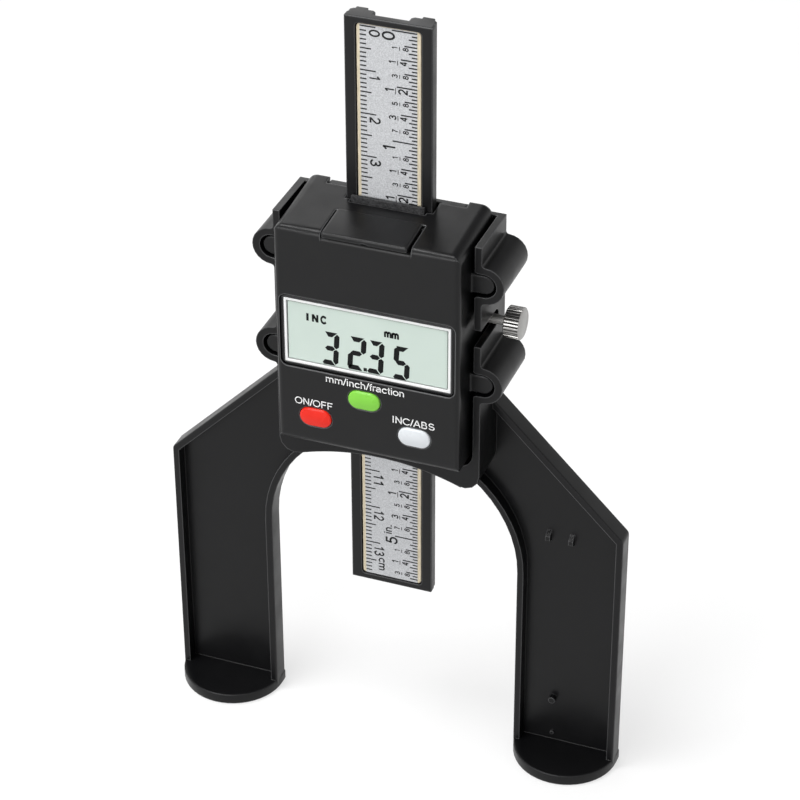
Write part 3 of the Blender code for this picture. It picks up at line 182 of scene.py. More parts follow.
# Lock screw
LOCK_LOW, LOCK_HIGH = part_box("lock_screw")
LOCK_AXIS = ((LOCK_LOW.y + LOCK_HIGH.y) / 2, (LOCK_LOW.z + LOCK_HIGH.z) / 2)
STEM_RADIUS = 1.1 * MM
STEM_END_RADIUS = 0.9 * MM
STEM_END_LENGTH = 0.2 * MM
NECK_RADIUS = 1.2 * MM
NECK_LENGTH = 0.15 * MM
KNOB_START = 26.3 * MM
KNOB_END = LOCK_HIGH.x
KNOB_RADIUS = (LOCK_HIGH.y - LOCK_LOW.y) / 2
KNOB_CHAMFER = 0.24 * MM
KNURL_START = KNOB_START + 0.3 * MM
KNURL_END = KNOB_END - KNOB_CHAMFER
RIDGES = 28
RIDGE_STEPS = 12
RIDGE_WIDENING = 1.35
GROOVE_DEPTH = 0.34 * MM

# Facets in a quarter turn of a rounded corner, and of a letter's bow
CORNER_STEPS = 5
BOW_STEPS = 7

# Softened edges of every solid made of facets
WELD_REACH = 0.002 * MM
FLAT_ANGLE = math.radians(1.0)
EDGE_WIDTH = 0.12 * MM
SHARP_ANGLE = math.radians(38)

# Painted highlight along the outer edges of the black plastics
PAINTED_HIGHLIGHT_REACH = 0.3 * MM

# Steel of the lock screw: a painted shade colour for the bottom of the head's grooves, and a stem colour
# painted brighter than the head's as painted light
KNOB_STEEL = (0.36, 0.355, 0.345)
STEM_PAINTED_LIGHT = (0.86, 0.85, 0.83)
GROOVE_PAINTED_SHADE = (0.02, 0.02, 0.02)
STEM_ROUGHER = 0.25

# Studio
FLOOR_HALF = 3.0
FLOOR_DROP = 0.1 * MM
FLOOR_GREY = 0.40
FLOOR_LIFT = 0.62
FLOOR_LIT = 0.25
FLOOR_WHITE = 0.65
SOFT_LIGHT = 0.45
WALL_TOP = 0.22
CEILING_START = 0.5
CEILING_LIGHT = 0.2
LIGHT_TARGET = (0, 0, 0.09)
CAMERA_AZIMUTH = math.radians(20.92)
CAMERA_ELEVATION = math.radians(33.21)
CAMERA_ROLL = math.radians(-0.26)
CAMERA_PLACE = (0.18869, -0.48411, 0.43323)
CAMERA_LENS = 127.35
CAMERA_SENSOR = 36


def clear_start():
    for name in ("Cube", "Camera", "Light"):
        if name in bpy.data.objects:
            bpy.data.objects.remove(bpy.data.objects[name], do_unlink=True)


# Materials


class Nodes:
    """A node tree that nodes are added to one by one."""

    def __init__(self, tree):
        self.tree = tree

    def node(self, kind, values=None, **settings):
        made = self.tree.nodes.new(kind)
        for key, value in settings.items():
            setattr(made, key, value)
        for key, value in (values or {}).items():
            made.inputs[key].default_value = value
        return made

    def link(self, source, target):
        self.tree.links.new(source, target)

    def spread(self, value, low, high, start=0.3, end=0.7):
        """Maps a value between start and end onto low and high."""
        limits = {"From Min": start, "From Max": end, "To Min": low, "To Max": high}
        fit = self.node("ShaderNodeMapRange", limits)
        self.link(value, fit.inputs["Value"])
        return fit.outputs["Result"]

    def combined(self, operation, first, second):
        made = self.node("ShaderNodeMath", operation=operation)
        self.link(first, made.inputs[0])
        self.link(second, made.inputs[1])
        return made.outputs[0]


class Shader(Nodes):
    """A Principled material."""

    def __init__(self, name, colour, roughness, metallic=0.0, specular=0.5, coat=0.0, coat_roughness=0.05):
        self.material = bpy.data.materials.new(name)
        self.material.use_nodes = True
        super().__init__(self.material.node_tree)
        self.base = self.tree.nodes["Principled BSDF"]
        self.base.inputs["Base Color"].default_value = (*colour, 1.0)
        self.base.inputs["Roughness"].default_value = roughness
        self.base.inputs["Metallic"].default_value = metallic
        self.base.inputs["Specular IOR Level"].default_value = specular
        self.base.inputs["Coat Weight"].default_value = coat
        self.base.inputs["Coat Roughness"].default_value = coat_roughness
        self.place = self.node("ShaderNodeTexCoord").outputs["Object"]

    def noise(self, scale, detail=3.0, roughness=0.55, stretch=(1, 1, 1)):
        mapping = self.node("ShaderNodeMapping", {"Scale": stretch})
        self.link(self.place, mapping.inputs["Vector"])
        noise = self.node("ShaderNodeTexNoise", {"Scale": scale, "Detail": detail, "Roughness": roughness})
        self.link(mapping.outputs["Vector"], noise.inputs["Vector"])
        return noise.outputs["Fac"]

    def mix(self, value, first, second):
        """Mixes two colours, each given as a tuple or as a node's output."""
        made = self.node("ShaderNodeMix", data_type="RGBA")
        for key, colour in (("A", first), ("B", second)):
            if isinstance(colour, tuple):
                made.inputs[key].default_value = (*colour, 1.0)
            else:
                self.link(colour, made.inputs[key])
        self.link(value, made.inputs["Factor"])
        return made.outputs["Result"]

    def vary_colour(self, value, first, second):
        self.link(self.mix(value, first, second), self.base.inputs["Base Color"])

    def vary_roughness(self, value, low, high):
        self.link(self.spread(value, low, high), self.base.inputs["Roughness"])

    def outer_edges(self, reach):
        """A value that rises to 1 along outer edges and is 0 on open faces; it places the painted edge
        highlight.
        """
        buried = self.node("ShaderNodeAmbientOcclusion", {"Distance": reach},
                           inside=True, only_local=True, samples=8)
        return self.spread(buried.outputs["AO"], 1.0, 0.0, start=0.60, end=0.92)

    def bump(self, value, depth, strength=1.0, rounding=0.0):
        """Relief from a value, on a surface whose edges are shaded round where a radius is given."""
        bump = self.node("ShaderNodeBump", {"Strength": strength, "Distance": depth})
        self.link(value, bump.inputs["Height"])
        if rounding:
            soft = self.node("ShaderNodeBevel", {"Radius": rounding}, samples=8)
            self.link(soft.outputs["Normal"], bump.inputs["Normal"])
        self.link(bump.outputs["Normal"], self.base.inputs["Normal"])


def tinted(colour, share, lift=0.0):
    return tuple(min(1.0, c * share + lift) for c in colour)


def moulded(name, colour, roughness, specular, edge=None, rounding=0.0):
    """Injection-moulded plastic: fine spark texture, slow drift in sheen and, where given, a painted
    highlight along its outer edges.
    """
    made = Shader(name, colour, roughness, specular=specular)
    drift = made.spread(made.noise(scale=70.0), 0.0, 1.0)
    deep, pale = tinted(colour, 0.90), tinted(colour, 1.12)
    # An edge colour, where given, is a painted highlight: lighter colour along the outer edges
    if edge:
        made.vary_colour(made.outer_edges(PAINTED_HIGHLIGHT_REACH), made.mix(drift, deep, pale), edge)
    else:
        made.vary_colour(drift, deep, pale)
    made.vary_roughness(made.noise(scale=160.0), roughness - 0.05, roughness + 0.07)
    made.bump(made.noise(scale=5200.0, detail=2.0), depth=0.004 * MM, rounding=rounding)
    return made.material


def metal(name, colour, roughness):
    """Plated or turned metal with faint mottling."""
    made = Shader(name, colour, roughness, metallic=1.0)
    cloud = made.spread(made.noise(scale=900.0), 0.0, 1.0)
    made.vary_colour(cloud, tinted(colour, 0.86), tinted(colour, 1.08))
    made.vary_roughness(made.noise(scale=2200.0), roughness - 0.06, roughness + 0.08)
    made.bump(made.noise(scale=3000.0), depth=0.003 * MM, strength=0.6)
    return made.material


def knurled_steel():
    """Turned steel of the lock screw: a stem painted brighter as painted light, and painted shade at the
    bottom of the head's grooves.
    """
    made = Shader("knurled steel", KNOB_STEEL, 0.34, metallic=1.0)
    apart = made.node("ShaderNodeVectorMath", {1: (0, *LOCK_AXIS)}, operation="SUBTRACT")
    made.link(made.place, apart.inputs[0])
    flat = made.node("ShaderNodeVectorMath", {1: (0, 1, 1)}, operation="MULTIPLY")
    made.link(apart.outputs[0], flat.inputs[0])
    radius = made.node("ShaderNodeVectorMath", operation="LENGTH")
    made.link(flat.outputs[0], radius.inputs[0])
    groove = made.spread(radius.outputs["Value"], 1.0, 0.0, start=3.30 * MM, end=3.52 * MM)
    place = made.node("ShaderNodeSeparateXYZ")
    made.link(made.place, place.inputs[0])
    along = place.outputs["X"]
    inner = made.spread(along, 0.0, 1.0, start=KNURL_START, end=KNURL_START + 0.1 * MM)
    outer = made.spread(along, 1.0, 0.0, start=KNURL_END - 0.1 * MM, end=KNURL_END)
    # Painted shade: the colour darkens at the bottom of the grooves, between the knurl's ends
    groove_shade = made.combined("MULTIPLY", made.combined("MULTIPLY", groove, inner), outer)
    # Painted light: the stem's steel colour is painted brighter than the head's
    stem = made.spread(along, 1.0, 0.0, start=KNOB_START - 0.2 * MM, end=KNOB_START)
    made.vary_colour(stem, made.mix(groove_shade, KNOB_STEEL, GROOVE_PAINTED_SHADE), STEM_PAINTED_LIGHT)
    sheen = made.spread(made.noise(scale=1200.0, stretch=(0.2, 1, 1)), 0.30, 0.38)
    rough = made.node("ShaderNodeMath", {1: STEM_ROUGHER}, operation="MULTIPLY_ADD")
    made.link(stem, rough.inputs[0])
    made.link(sheen, rough.inputs[2])
    made.link(rough.outputs[0], made.base.inputs["Roughness"])
    return made.material


def display_glass():
    """Pale reflector behind glass, with painted shade beside its frame's top and right walls."""
    made = Shader("display glass", (0.60, 0.70, 0.64), 0.28, specular=0.4, coat=0.2, coat_roughness=0.03)
    # Painted shade: an occlusion test leaned up and to the right finds the frame's top and right walls
    lean = made.node("ShaderNodeCombineXYZ", {"X": 0.45, "Y": -0.8, "Z": 0.4})
    painted_shade_occlusion = made.node("ShaderNodeAmbientOcclusion", {"Distance": 1.1 * MM}, samples=8)
    made.link(lean.outputs[0], painted_shade_occlusion.inputs["Normal"])
    cloud = made.spread(made.noise(scale=45.0), 0.0, 1.0)
    plain = made.mix(cloud, (0.575, 0.675, 0.615), (0.625, 0.725, 0.665))
    # Near those walls the colour turns to the dark painted shade colour
    lit = made.spread(painted_shade_occlusion.outputs["AO"], 0.0, 1.0, start=0.35, end=0.85)
    made.vary_colour(lit, (0.20, 0.24, 0.22), plain)
    return made.material


def sticker_film():
    """Silver-grey printed film with fine metallic speckle."""
    made = Shader("silver film", (0.56, 0.565, 0.59), 0.42, specular=0.4)
    cloud = made.noise(scale=4200.0, detail=4.0, roughness=0.7)
    speckle = made.spread(cloud, 0.0, 1.0, start=0.36, end=0.64)
    made.vary_colour(speckle, (0.43, 0.44, 0.455), (0.70, 0.71, 0.73))
    made.vary_roughness(made.noise(scale=700.0), 0.36, 0.50)
    return made.material


def ink(name, colour, roughness):
    made = Shader(name, colour, roughness, specular=0.25)
    made.vary_colour(made.spread(made.noise(scale=1500.0), 0.0, 1.0), colour, tinted(colour, 1.1, 0.004))
    made.vary_roughness(made.noise(scale=900.0), roughness - 0.05, roughness + 0.05)
    return made.material


def speckled(name, colour, roughness, specular, low, high, scale, detail=3.0, stretch=(1, 1, 1),
             relief_scale=0.0, depth=0.0):
    """A material whose colour varies in speckles, with relief at a scale of its own where one is given."""
    made = Shader(name, colour, roughness, specular=specular)
    made.vary_colour(made.spread(made.noise(scale, detail, stretch=stretch), 0.0, 1.0), low, high)
    if relief_scale:
        made.bump(made.noise(relief_scale, detail), depth)
    return made.material


MATERIALS = {
    # The edge colours of the two black plastics are painted highlights along their outer edges
    "black_abs": moulded("housing plastic", (0.0055, 0.0055, 0.006), 0.34, 0.25,
                         edge=(0.13, 0.132, 0.135), rounding=0.7 * MM),
    "bracket_black": moulded("bracket plastic", (0.004, 0.004, 0.0045), 0.34, 0.22,
                             edge=(0.075, 0.076, 0.078), rounding=0.3 * MM),
    "steel": metal("plated steel", (0.62, 0.61, 0.60), 0.26),
    "brass": metal("brass", (0.70, 0.52, 0.24), 0.28),
    "white_plastic": moulded("white plastic", (0.90, 0.91, 0.91), 0.38, 0.4),
    "lcd_glass": display_glass(),
    "grey_rubber": speckled("grey rubber", (0.12, 0.12, 0.12), 0.8, 0.2,
                            (0.102, 0.102, 0.102), (0.132, 0.132, 0.132), 400.0,
                            relief_scale=2500.0, depth=0.01 * MM),
    "board_green": speckled("circuit board", (0.05, 0.19, 0.09), 0.35, 0.5,
                            (0.03, 0.13, 0.06), (0.07, 0.25, 0.12), 500.0,
                            relief_scale=1800.0, depth=0.01 * MM),
    "strip_tan": speckled("strip laminate", (0.62, 0.50, 0.29), 0.55, 0.35,
                          (0.60, 0.52, 0.37), (0.80, 0.71, 0.54), 2600.0, stretch=(1, 1, 0.15),
                          relief_scale=4000.0, depth=0.004 * MM),
    "felt": speckled("felt", (0.03, 0.03, 0.031), 0.95, 0.1,
                     (0.016, 0.016, 0.017), (0.07, 0.07, 0.072), 2600.0, detail=5.0,
                     relief_scale=3800.0, depth=0.06 * MM),
    "key_red": moulded("red key plastic", (0.80, 0.020, 0.008), 0.30, 0.3),
    "key_green": moulded("green key plastic", (0.22, 0.62, 0.060), 0.30, 0.35),
    "key_white": moulded("white key plastic", (0.76, 0.79, 0.82), 0.30, 0.4),
}
KNURLED_STEEL = knurled_steel()
BLACK_INK = ink("black print", (0.008, 0.008, 0.009), 0.5)
WHITE_INK = ink("white print", (0.92, 0.93, 0.93), 0.45)
SILVER_FILM = sticker_film()
SEGMENTS = speckled("display segments", (0.006, 0.007, 0.007), 0.4, 0.1,
                    (0.005, 0.006, 0.006), (0.009, 0.010, 0.010), 600.0)


# Meshes


def add_piece(name, mesh, material, body):
    """Adds a piece that rides a body and, where given, wears one of the record's slots."""
    made = bpy.data.objects.new(name, mesh)
    bpy.context.scene.collection.objects.link(made)
    mesh.materials.clear()
    mesh.materials.append(material)
    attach(made, body)
    return made


def mesh_of(name, shape, smooth=0):
    """A mesh whose faces that meet under the smooth angle are shaded as one surface."""
    bmesh.ops.recalc_face_normals(shape, faces=shape.faces)
    mesh = bpy.data.meshes.new(name)
    shape.to_mesh(mesh)
    shape.free()
    if smooth:
        mesh.shade_smooth()
        mesh.set_sharp_from_angle(angle=math.radians(smooth))
    return mesh


def bridge(shape, rings, capped=True):
    """Joins rings of points with faces, and closes the first and last where capped."""
    for near, far in zip(rings, rings[1:]):
        count = len(near)
        for i in range(count):
            j = (i + 1) % count
            shape.faces.new((near[i], near[j], far[j], far[i]))
    if capped:
        shape.faces.new(rings[0][::-1])
        shape.faces.new(rings[-1])


def slab(shape, corners, front, back):
    """Adds a plate with this outline in X and Z between two depths."""
    near = [shape.verts.new((x, front, z)) for x, z in corners]
    far = [shape.verts.new((x, back, z)) for x, z in corners]
    shape.faces.new(near)
    shape.faces.new(far[::-1])
    count = len(corners)
    for i in range(count):
        j = (i + 1) % count
        shape.faces.new((near[i], far[i], far[j], near[j]))


def rounded_box(left, right, low, high, radius):
    """Outline of a rectangle with rounded corners."""
    corners = []
    for cx, cz, start in (
        (right - radius, high - radius, 0),
        (left + radius, high - radius, 90),
        (left + radius, low + radius, 180),
        (right - radius, low + radius, 270),
    ):
        for i in range(CORNER_STEPS + 1):
            angle = math.radians(start + 90 * i / CORNER_STEPS)
            corners.append((cx + radius * math.cos(angle), cz + radius * math.sin(angle)))
    return corners


def around(low, high, reach, radius):
    """Outline a set distance outside a box, with rounded corners."""
    return rounded_box(low.x - reach, high.x + reach, low.z - reach, high.z + reach, radius)


# Letters


def bow(cx, cz, rx, rz, start, end):
    """Points on an arc of an ellipse, from one angle to another."""
    turn = math.radians(end - start)
    count = max(3, round(BOW_STEPS * abs(end - start) / 90))
    angles = [math.radians(start) + turn * i / count for i in range(count + 1)]
    return [(cx + rx * math.cos(t), cz + rz * math.sin(t)) for t in angles]


def hump(left, right):
    """The arch of m, n and h, and its right leg."""
    half = (right - left) / 2
    return bow(left + half, 0.43, half, 0.235, 180, 0) + [(right, 0)]


SIX = [bow(0.34, 0.315, 0.27, 0.255, 90, 450), bow(0.38, 0.48, 0.31, 0.4575, 55, 180) + [(0.07, 0.32)]]
STEM = [(0.15, 0), (0.15, 0.725)]

# Each letter's width and its pen strokes, for capitals one unit high
LETTERS = {
    "0": (0.777, [bow(0.34, 0.5, 0.28, 0.4375, 90, 450)]),
    "1": (0.777, [[(0.42, 0), (0.42, 1)], [(0.42, 0.96), (0.30, 0.83), (0.12, 0.73)]]),
    "2": (0.777, [bow(0.335, 0.68, 0.265, 0.2575, 172, -25) + [(0.40, 0.36), (0.18, 0.18), (0.09, 0.07)],
                  [(0.04, 0.0625), (0.63, 0.0625)]]),
    "3": (0.777, [bow(0.315, 0.735, 0.235, 0.2025, 168, -90) + [(0.24, 0.5325)],
                  bow(0.325, 0.2975, 0.28, 0.235, 85, -168)]),
    "4": (0.777, [[(0.50, 0), (0.50, 1)], [(0.47, 0.96), (0.07, 0.31)], [(0.03, 0.285), (0.68, 0.285)]]),
    "5": (0.777, [[(0.60, 0.9375), (0.19, 0.9375), (0.12, 0.50)],
                  bow(0.33, 0.335, 0.28, 0.2725, 140, -168)]),
    "6": (0.777, SIX),
    "7": (0.777, [[(0.05, 0.9375), (0.63, 0.9375)],
                  [(0.60, 0.92), (0.42, 0.66), (0.30, 0.34), (0.25, 0)]]),
    "8": (0.777, [bow(0.34, 0.74, 0.22, 0.1975, 90, 450), bow(0.34, 0.3, 0.275, 0.2375, 90, 450)]),
    "9": (0.777, [[(0.68 - x, 1 - z) for x, z in line] for line in SIX]),
    "A": (0.931, [[(0.05, 0), (0.445, 0.98)], [(0.485, 0.98), (0.88, 0)], [(0.18, 0.33), (0.75, 0.33)]]),
    "B": (0.931, [[(0.17, 0), (0.17, 1)], [(0.17, 0.9375)] + bow(0.50, 0.735, 0.21, 0.2025, 90, -90),
                  [(0.17, 0.5325)] + bow(0.53, 0.2975, 0.26, 0.235, 90, -90) + [(0.17, 0.0625)]]),
    "C": (1.008, [bow(0.53, 0.5, 0.455, 0.4375, 35, 325)]),
    "F": (0.853, [[(0.18, 0), (0.18, 0.9375), (0.80, 0.9375)], [(0.18, 0.50), (0.72, 0.50)]]),
    "I": (0.388, [[(0.195, 0), (0.195, 1)]]),
    "N": (1.008, [[(0.17, 0), (0.17, 1)], [(0.19, 0.95), (0.82, 0.05)], [(0.84, 0), (0.84, 1)]]),
    "O": (1.086, [bow(0.54, 0.5, 0.455, 0.4375, 90, 450)]),
    "S": (0.931, [bow(0.455, 0.72, 0.30, 0.2175, 18, 262) + bow(0.475, 0.285, 0.33, 0.2225, 80, -165)]),
    "a": (0.777, [bow(0.345, 0.46, 0.245, 0.2025, 160, 0) + [(0.595, 0.14), (0.635, 0)],
                  [(0.595, 0.43), (0.35, 0.375)] + bow(0.30, 0.205, 0.215, 0.145, 110, 330)
                  + [(0.59, 0.24)]]),
    "c": (0.698, [bow(0.365, 0.3625, 0.30, 0.30, 38, 322)]),
    "f": (0.388, [[(0.19, 0)] + bow(0.35, 0.79, 0.16, 0.15, 180, 80), [(0.03, 0.665), (0.38, 0.665)]]),
    "h": (0.777, [[(0.15, 0), (0.15, 1)], hump(0.15, 0.60)]),
    "i": (0.310, [[(0.155, 0), (0.155, 0.725)], [(0.155, 0.86), (0.155, 1)]]),
    "m": (1.163, [STEM, hump(0.15, 0.58), hump(0.58, 1.01)]),
    "n": (0.777, [STEM, hump(0.15, 0.60)]),
    "o": (0.777, [bow(0.385, 0.3625, 0.315, 0.30, 90, 450)]),
    "r": (0.465, [STEM, bow(0.40, 0.42, 0.25, 0.2425, 180, 75)]),
    "t": (0.388, [[(0.19, 0.93)] + bow(0.30, 0.17, 0.11, 0.11, 180, 280), [(0.03, 0.665), (0.36, 0.665)]]),
    "/": (0.388, [[(0.02, -0.02), (0.36, 1.02)]]),
    ".": (0.388, [[(0.19, 0), (0.19, 0.15)]]),
}

# A line closes into a ring where its ends are this near, and a corner's mitre is no longer than this allows
RING_CLOSE = 0.001
NO_TURN = 0.01
LEAST_MITRE = 0.6


def pen_stroke(shape, line, weight, place, front, back):
    """Adds a ribbon of even width along a line. Place turns the line's points into X and Z."""
    ring = len(line) > 3 and math.dist(line[0], line[-1]) < RING_CLOSE
    points = line[:-1] if ring else line
    count = len(points)
    sides = []
    for i, (x, z) in enumerate(points):
        before = points[i - 1] if i or ring else (x, z)
        after = points[(i + 1) % count] if i + 1 < count or ring else (x, z)
        a, b = Vector((x - before[0], z - before[1])), Vector((after[0] - x, after[1] - z))
        a = a.normalized() if a.length else b.normalized()
        b = b.normalized() if b.length else a
        along = (a + b).normalized() if (a + b).length > NO_TURN else a
        reach = weight / 2 / max(LEAST_MITRE, along.dot(a))
        across = Vector((-along.y, along.x)) * reach
        edges = place(x + across.x, z + across.y), place(x - across.x, z - across.y)
        sides.append([shape.verts.new((px, depth, pz)) for depth in (front, back) for px, pz in edges])
    pairs = list(zip(sides, sides[1:])) + ([(sides[-1], sides[0])] if ring else [])
    for one, two in pairs:
        for i, j in ((0, 1), (1, 3), (3, 2), (2, 0)):
            shape.faces.new((one[i], one[j], two[j], two[i]))
    if not ring:
        shape.faces.new([sides[0][i] for i in (0, 2, 3, 1)])
        shape.faces.new([sides[-1][i] for i in (0, 1, 3, 2)])


def write(shape, words, height, front, thickness, origin, weight, reading=(1, 0), up=(0, 1), width=None):
    """Writes words on a plane of constant depth, from the first letter's left edge. Height is the capitals'
    height, and width, where given, is the whole word's length. Reading and up are directions in X and Z."""
    lines = []
    pen = 0.0
    for letter in words:
        step, strokes = LETTERS[letter]
        heavy = weight * DOT_SHARE if letter == "." else weight
        lines += [([(x + pen, z) for x, z in line], heavy) for line in strokes]
        pen += step
    left = min(x for line, _ in lines for x, _ in line) - weight / 2
    right = max(x for line, _ in lines for x, _ in line) + weight / 2
    stretch = width / (right - left) / height if width else 1.0

    def place(x, z):
        along, rise = (x - left) * height * stretch, z * height
        return (origin[0] + along * reading[0] + rise * up[0], origin[1] + along * reading[1] + rise * up[1])

    for line, heavy in lines:
        pen_stroke(shape, line, heavy, place, front, front + thickness)


# The printed scale


def build_sticker():
    shape = bmesh.new()
    outline = rounded_box(STICKER_LEFT, STICKER_RIGHT, STICKER_BOTTOM, STICKER_TOP, STICKER_CORNER)
    slab(shape, outline, PRINT_FACE - STICKER_THICKNESS, PRINT_FACE)
    add_piece("scale_film", mesh_of("scale_film", shape), SILVER_FILM, "beam")


def build_ticks(name, count, apart, edge, way, lengths):
    """Ticks from one edge of the film, each as long as the first share that divides its number says."""
    shape = bmesh.new()
    half = TICK_THICKNESS / 2
    for i in range(count + 1):
        share = next(s for s in lengths if i % s == 0)
        end = edge + way * lengths[share] * MM
        height = SCALE_ZERO - i * apart
        low, high = height - half, height + half
        corners = [(edge, low), (end, low), (end, high), (edge, high)]
        slab(shape, corners, INK_FRONT, INK_FRONT + INK_THICKNESS)
    add_piece(name, mesh_of(name, shape), BLACK_INK, "beam")


def along_scale(shape, words, height, foot, start, downward, weight, width=None):
    """Words that run along the beam: downward ones have their tops to the right, others to the left."""
    way = -1 if downward else 1
    write(shape, words, height * MM, INK_FRONT, INK_THICKNESS, (foot * MM, start), weight,
          reading=(0, way), up=(-way, 0), width=width * MM if width else None)


def build_metric_numbers():
    shape = bmesh.new()
    for i in range(METRIC_NUMBERS):
        if i < 10:
            wide = METRIC_ONE_WIDTH if i == 1 else METRIC_WIDTH
            start = METRIC_CENTRE - wide / 2
        else:
            wide = METRIC_PAIR_WIDTH
            start = METRIC_PAIR_START
        place = SCALE_ZERO - (i * 10 + start) * MM
        along_scale(shape, str(i), METRIC_HEIGHT, METRIC_FOOT, place, True, METRIC_WEIGHT, wide)
    along_scale(shape, "cm", CM_HEIGHT, CM_FOOT, SCALE_ZERO - CM_PLACE * MM, True, CM_WEIGHT)
    add_piece("metric_numbers", mesh_of("metric_numbers", shape), BLACK_INK, "beam")


def build_inch_numbers():
    shape = bmesh.new()
    for i in range(INCH_NUMBERS):
        wide = INCH_ONE_WIDTH if i == 1 else INCH_WIDTH
        place = SCALE_ZERO - i * INCH - INCH_START * MM
        along_scale(shape, str(i), INCH_HEIGHT, INCH_FOOT, place, False, INCH_WEIGHT, wide)
    place = SCALE_ZERO - (INCH_NUMBERS - 1) * INCH + IN_START * MM
    along_scale(shape, "in.", IN_HEIGHT, IN_FOOT, place, False, IN_WEIGHT, IN_WIDTH)
    add_piece("inch_numbers", mesh_of("inch_numbers", shape), BLACK_INK, "beam")


def build_fractions():
    shape = bmesh.new()
    for i in range(1, INCH_TICKS // 4 + 1):
        if i % EIGHTHS == 0:
            continue
        over, under = i % EIGHTHS, EIGHTHS
        while over % 2 == 0:
            over, under = over // 2, under // 2
        top, middle, low, tall = FRACTION_LINES[under]
        wide = tall * FRACTION_WIDTH_SHARE
        below = SCALE_ZERO - i * INCH / EIGHTHS - (FRACTION_GAP + wide) * MM
        thin = wide * FRACTION_ONE_SHARE if over == 1 else wide
        middle_of_top = below + (wide - thin) / 2 * MM
        along_scale(shape, str(over), tall, top, middle_of_top, False, FRACTION_WEIGHT, thin)
        along_scale(shape, str(under), tall, low, below, False, FRACTION_WEIGHT, wide)
        left, right = (middle - FRACTION_BAR / 2) * MM, (middle + FRACTION_BAR / 2) * MM
        above = below + wide * MM
        slab(shape, [(left, below), (right, below), (right, above), (left, above)],
             INK_FRONT, INK_FRONT + INK_THICKNESS)
    add_piece("fraction_numbers", mesh_of("fraction_numbers", shape), BLACK_INK, "beam")


# The display and the panel's lettering


def bars(width):
    """Outlines of a digit's seven bars, in millimetres from its lower left corner before it leans."""
    w, h, m, t = width, DIGIT_HEIGHT, DIGIT_MIDDLE, BAR
    upright = [(w - t / 2, h - 0.3), (w, h - 0.85), (w, m + 0.62), (w - t / 2, m + 0.08),
               (w - t, m + 0.52), (w - t, h - 1.05)]
    lower = [(x, 2 * m - z) for x, z in upright[2:5]] + [(w - t, 1.05), (w - t / 2 - 0.02, 0.3), (w, 0.85)]
    return {
        "a": [(0.42, h), (w - 0.58, h), (w - t - 0.5, h - t), (1.2, h - t)],
        "b": upright,
        "c": lower,
        "d": [(0.62, t), (0.15, 0.45), (0.45, 0), (w - 0.62, 0), (w - t - 0.42, t)],
        "e": [(w - x, z) for x, z in lower],
        "f": [(w - x, z) for x, z in upright],
        "g": [(0.55, m), (1.1, m + t / 2), (w - 1.45, m + t / 2),
              (w - 0.88, m), (w - 1.45, m - t / 2), (1.1, m - t / 2)],
    }


def build_digits():
    shape = bmesh.new()
    front = GLASS_FACE - PRINT_THICKNESS
    for lit, left, width, low in DIGITS:
        outlines = bars(width)
        for name in lit:
            corners = [((left + x + z * LEAN) * MM, (low + z) * MM) for x, z in outlines[name]]
            slab(shape, corners, front, GLASS_FACE)
    point = rounded_box(POINT_LEFT, POINT_RIGHT, POINT_LOW, POINT_HIGH, POINT_CORNER)
    slab(shape, point, front, GLASS_FACE)
    add_piece("display_digits", mesh_of("display_digits", shape), SEGMENTS, "gauge")


def build_words(name, table, height, face, weight, material):
    """Words printed on one of the gauge's faces, from a table of words, left edges, feet and widths."""
    shape = bmesh.new()
    for words, left, low, width in table:
        write(shape, words, height, face - PRINT_THICKNESS, PRINT_THICKNESS, (left * MM, low * MM), weight,
              width=width * MM)
    add_piece(name, mesh_of(name, shape), material, "gauge")


# CAD nodes


def smooth_by_angle(limit):
    """Node group that shades faces as one surface, except across edges steeper than the limit."""
    group = bpy.data.node_groups.new("smooth_by_angle", "GeometryNodeTree")
    group.interface.new_socket("Geometry", in_out="INPUT", socket_type="NodeSocketGeometry")
    group.interface.new_socket("Geometry", in_out="OUTPUT", socket_type="NodeSocketGeometry")
    made = Nodes(group)
    start = made.node("NodeGroupInput")
    faces = made.node("GeometryNodeSetShadeSmooth", domain="FACE")
    edges = made.node("GeometryNodeSetShadeSmooth", {"Shade Smooth": False}, domain="EDGE")
    angle = made.node("GeometryNodeInputMeshEdgeAngle")
    steep = made.node("FunctionNodeCompare", {1: limit}, operation="GREATER_THAN")
    end = made.node("NodeGroupOutput")
    made.link(start.outputs[0], faces.inputs["Geometry"])
    made.link(faces.outputs[0], edges.inputs["Geometry"])
    made.link(angle.outputs["Unsigned Angle"], steep.inputs[0])
    made.link(steep.outputs[0], edges.inputs["Selection"])
    made.link(edges.outputs[0], end.inputs[0])
    return group


SMOOTH_BY_ANGLE = smooth_by_angle(SHARP_ANGLE)


def round_edges(obj):
    """Rounds the edges of a solid made of facets a little, and shades its round parts as one surface."""
    weld = obj.modifiers.new("weld", "WELD")
    weld.merge_threshold = WELD_REACH
    flat = obj.modifiers.new("flat", "DECIMATE")
    flat.decimate_type = "DISSOLVE"
    flat.angle_limit = FLAT_ANGLE
    obj.modifiers.new("smooth", "NODES").node_group = SMOOTH_BY_ANGLE
    edge = obj.modifiers.new("edge", "BEVEL")
    edge.width = EDGE_WIDTH
    edge.segments = 2
    edge.limit_method = "ANGLE"
    edge.angle_limit = SHARP_ANGLE
    edge.harden_normals = False
    normals = obj.modifiers.new("normals", "WEIGHTED_NORMAL")
    normals.keep_sharp = True


def dress_nodes():
    """Gives each CAD node its slot's material and softened edges."""
    for row in frame["record"]["subparts"]:
        obj = NODES[row["node"]]
        obj.data.materials.clear()
        obj.data.materials.append(MATERIALS[row["material_slot"]])
        round_edges(obj)


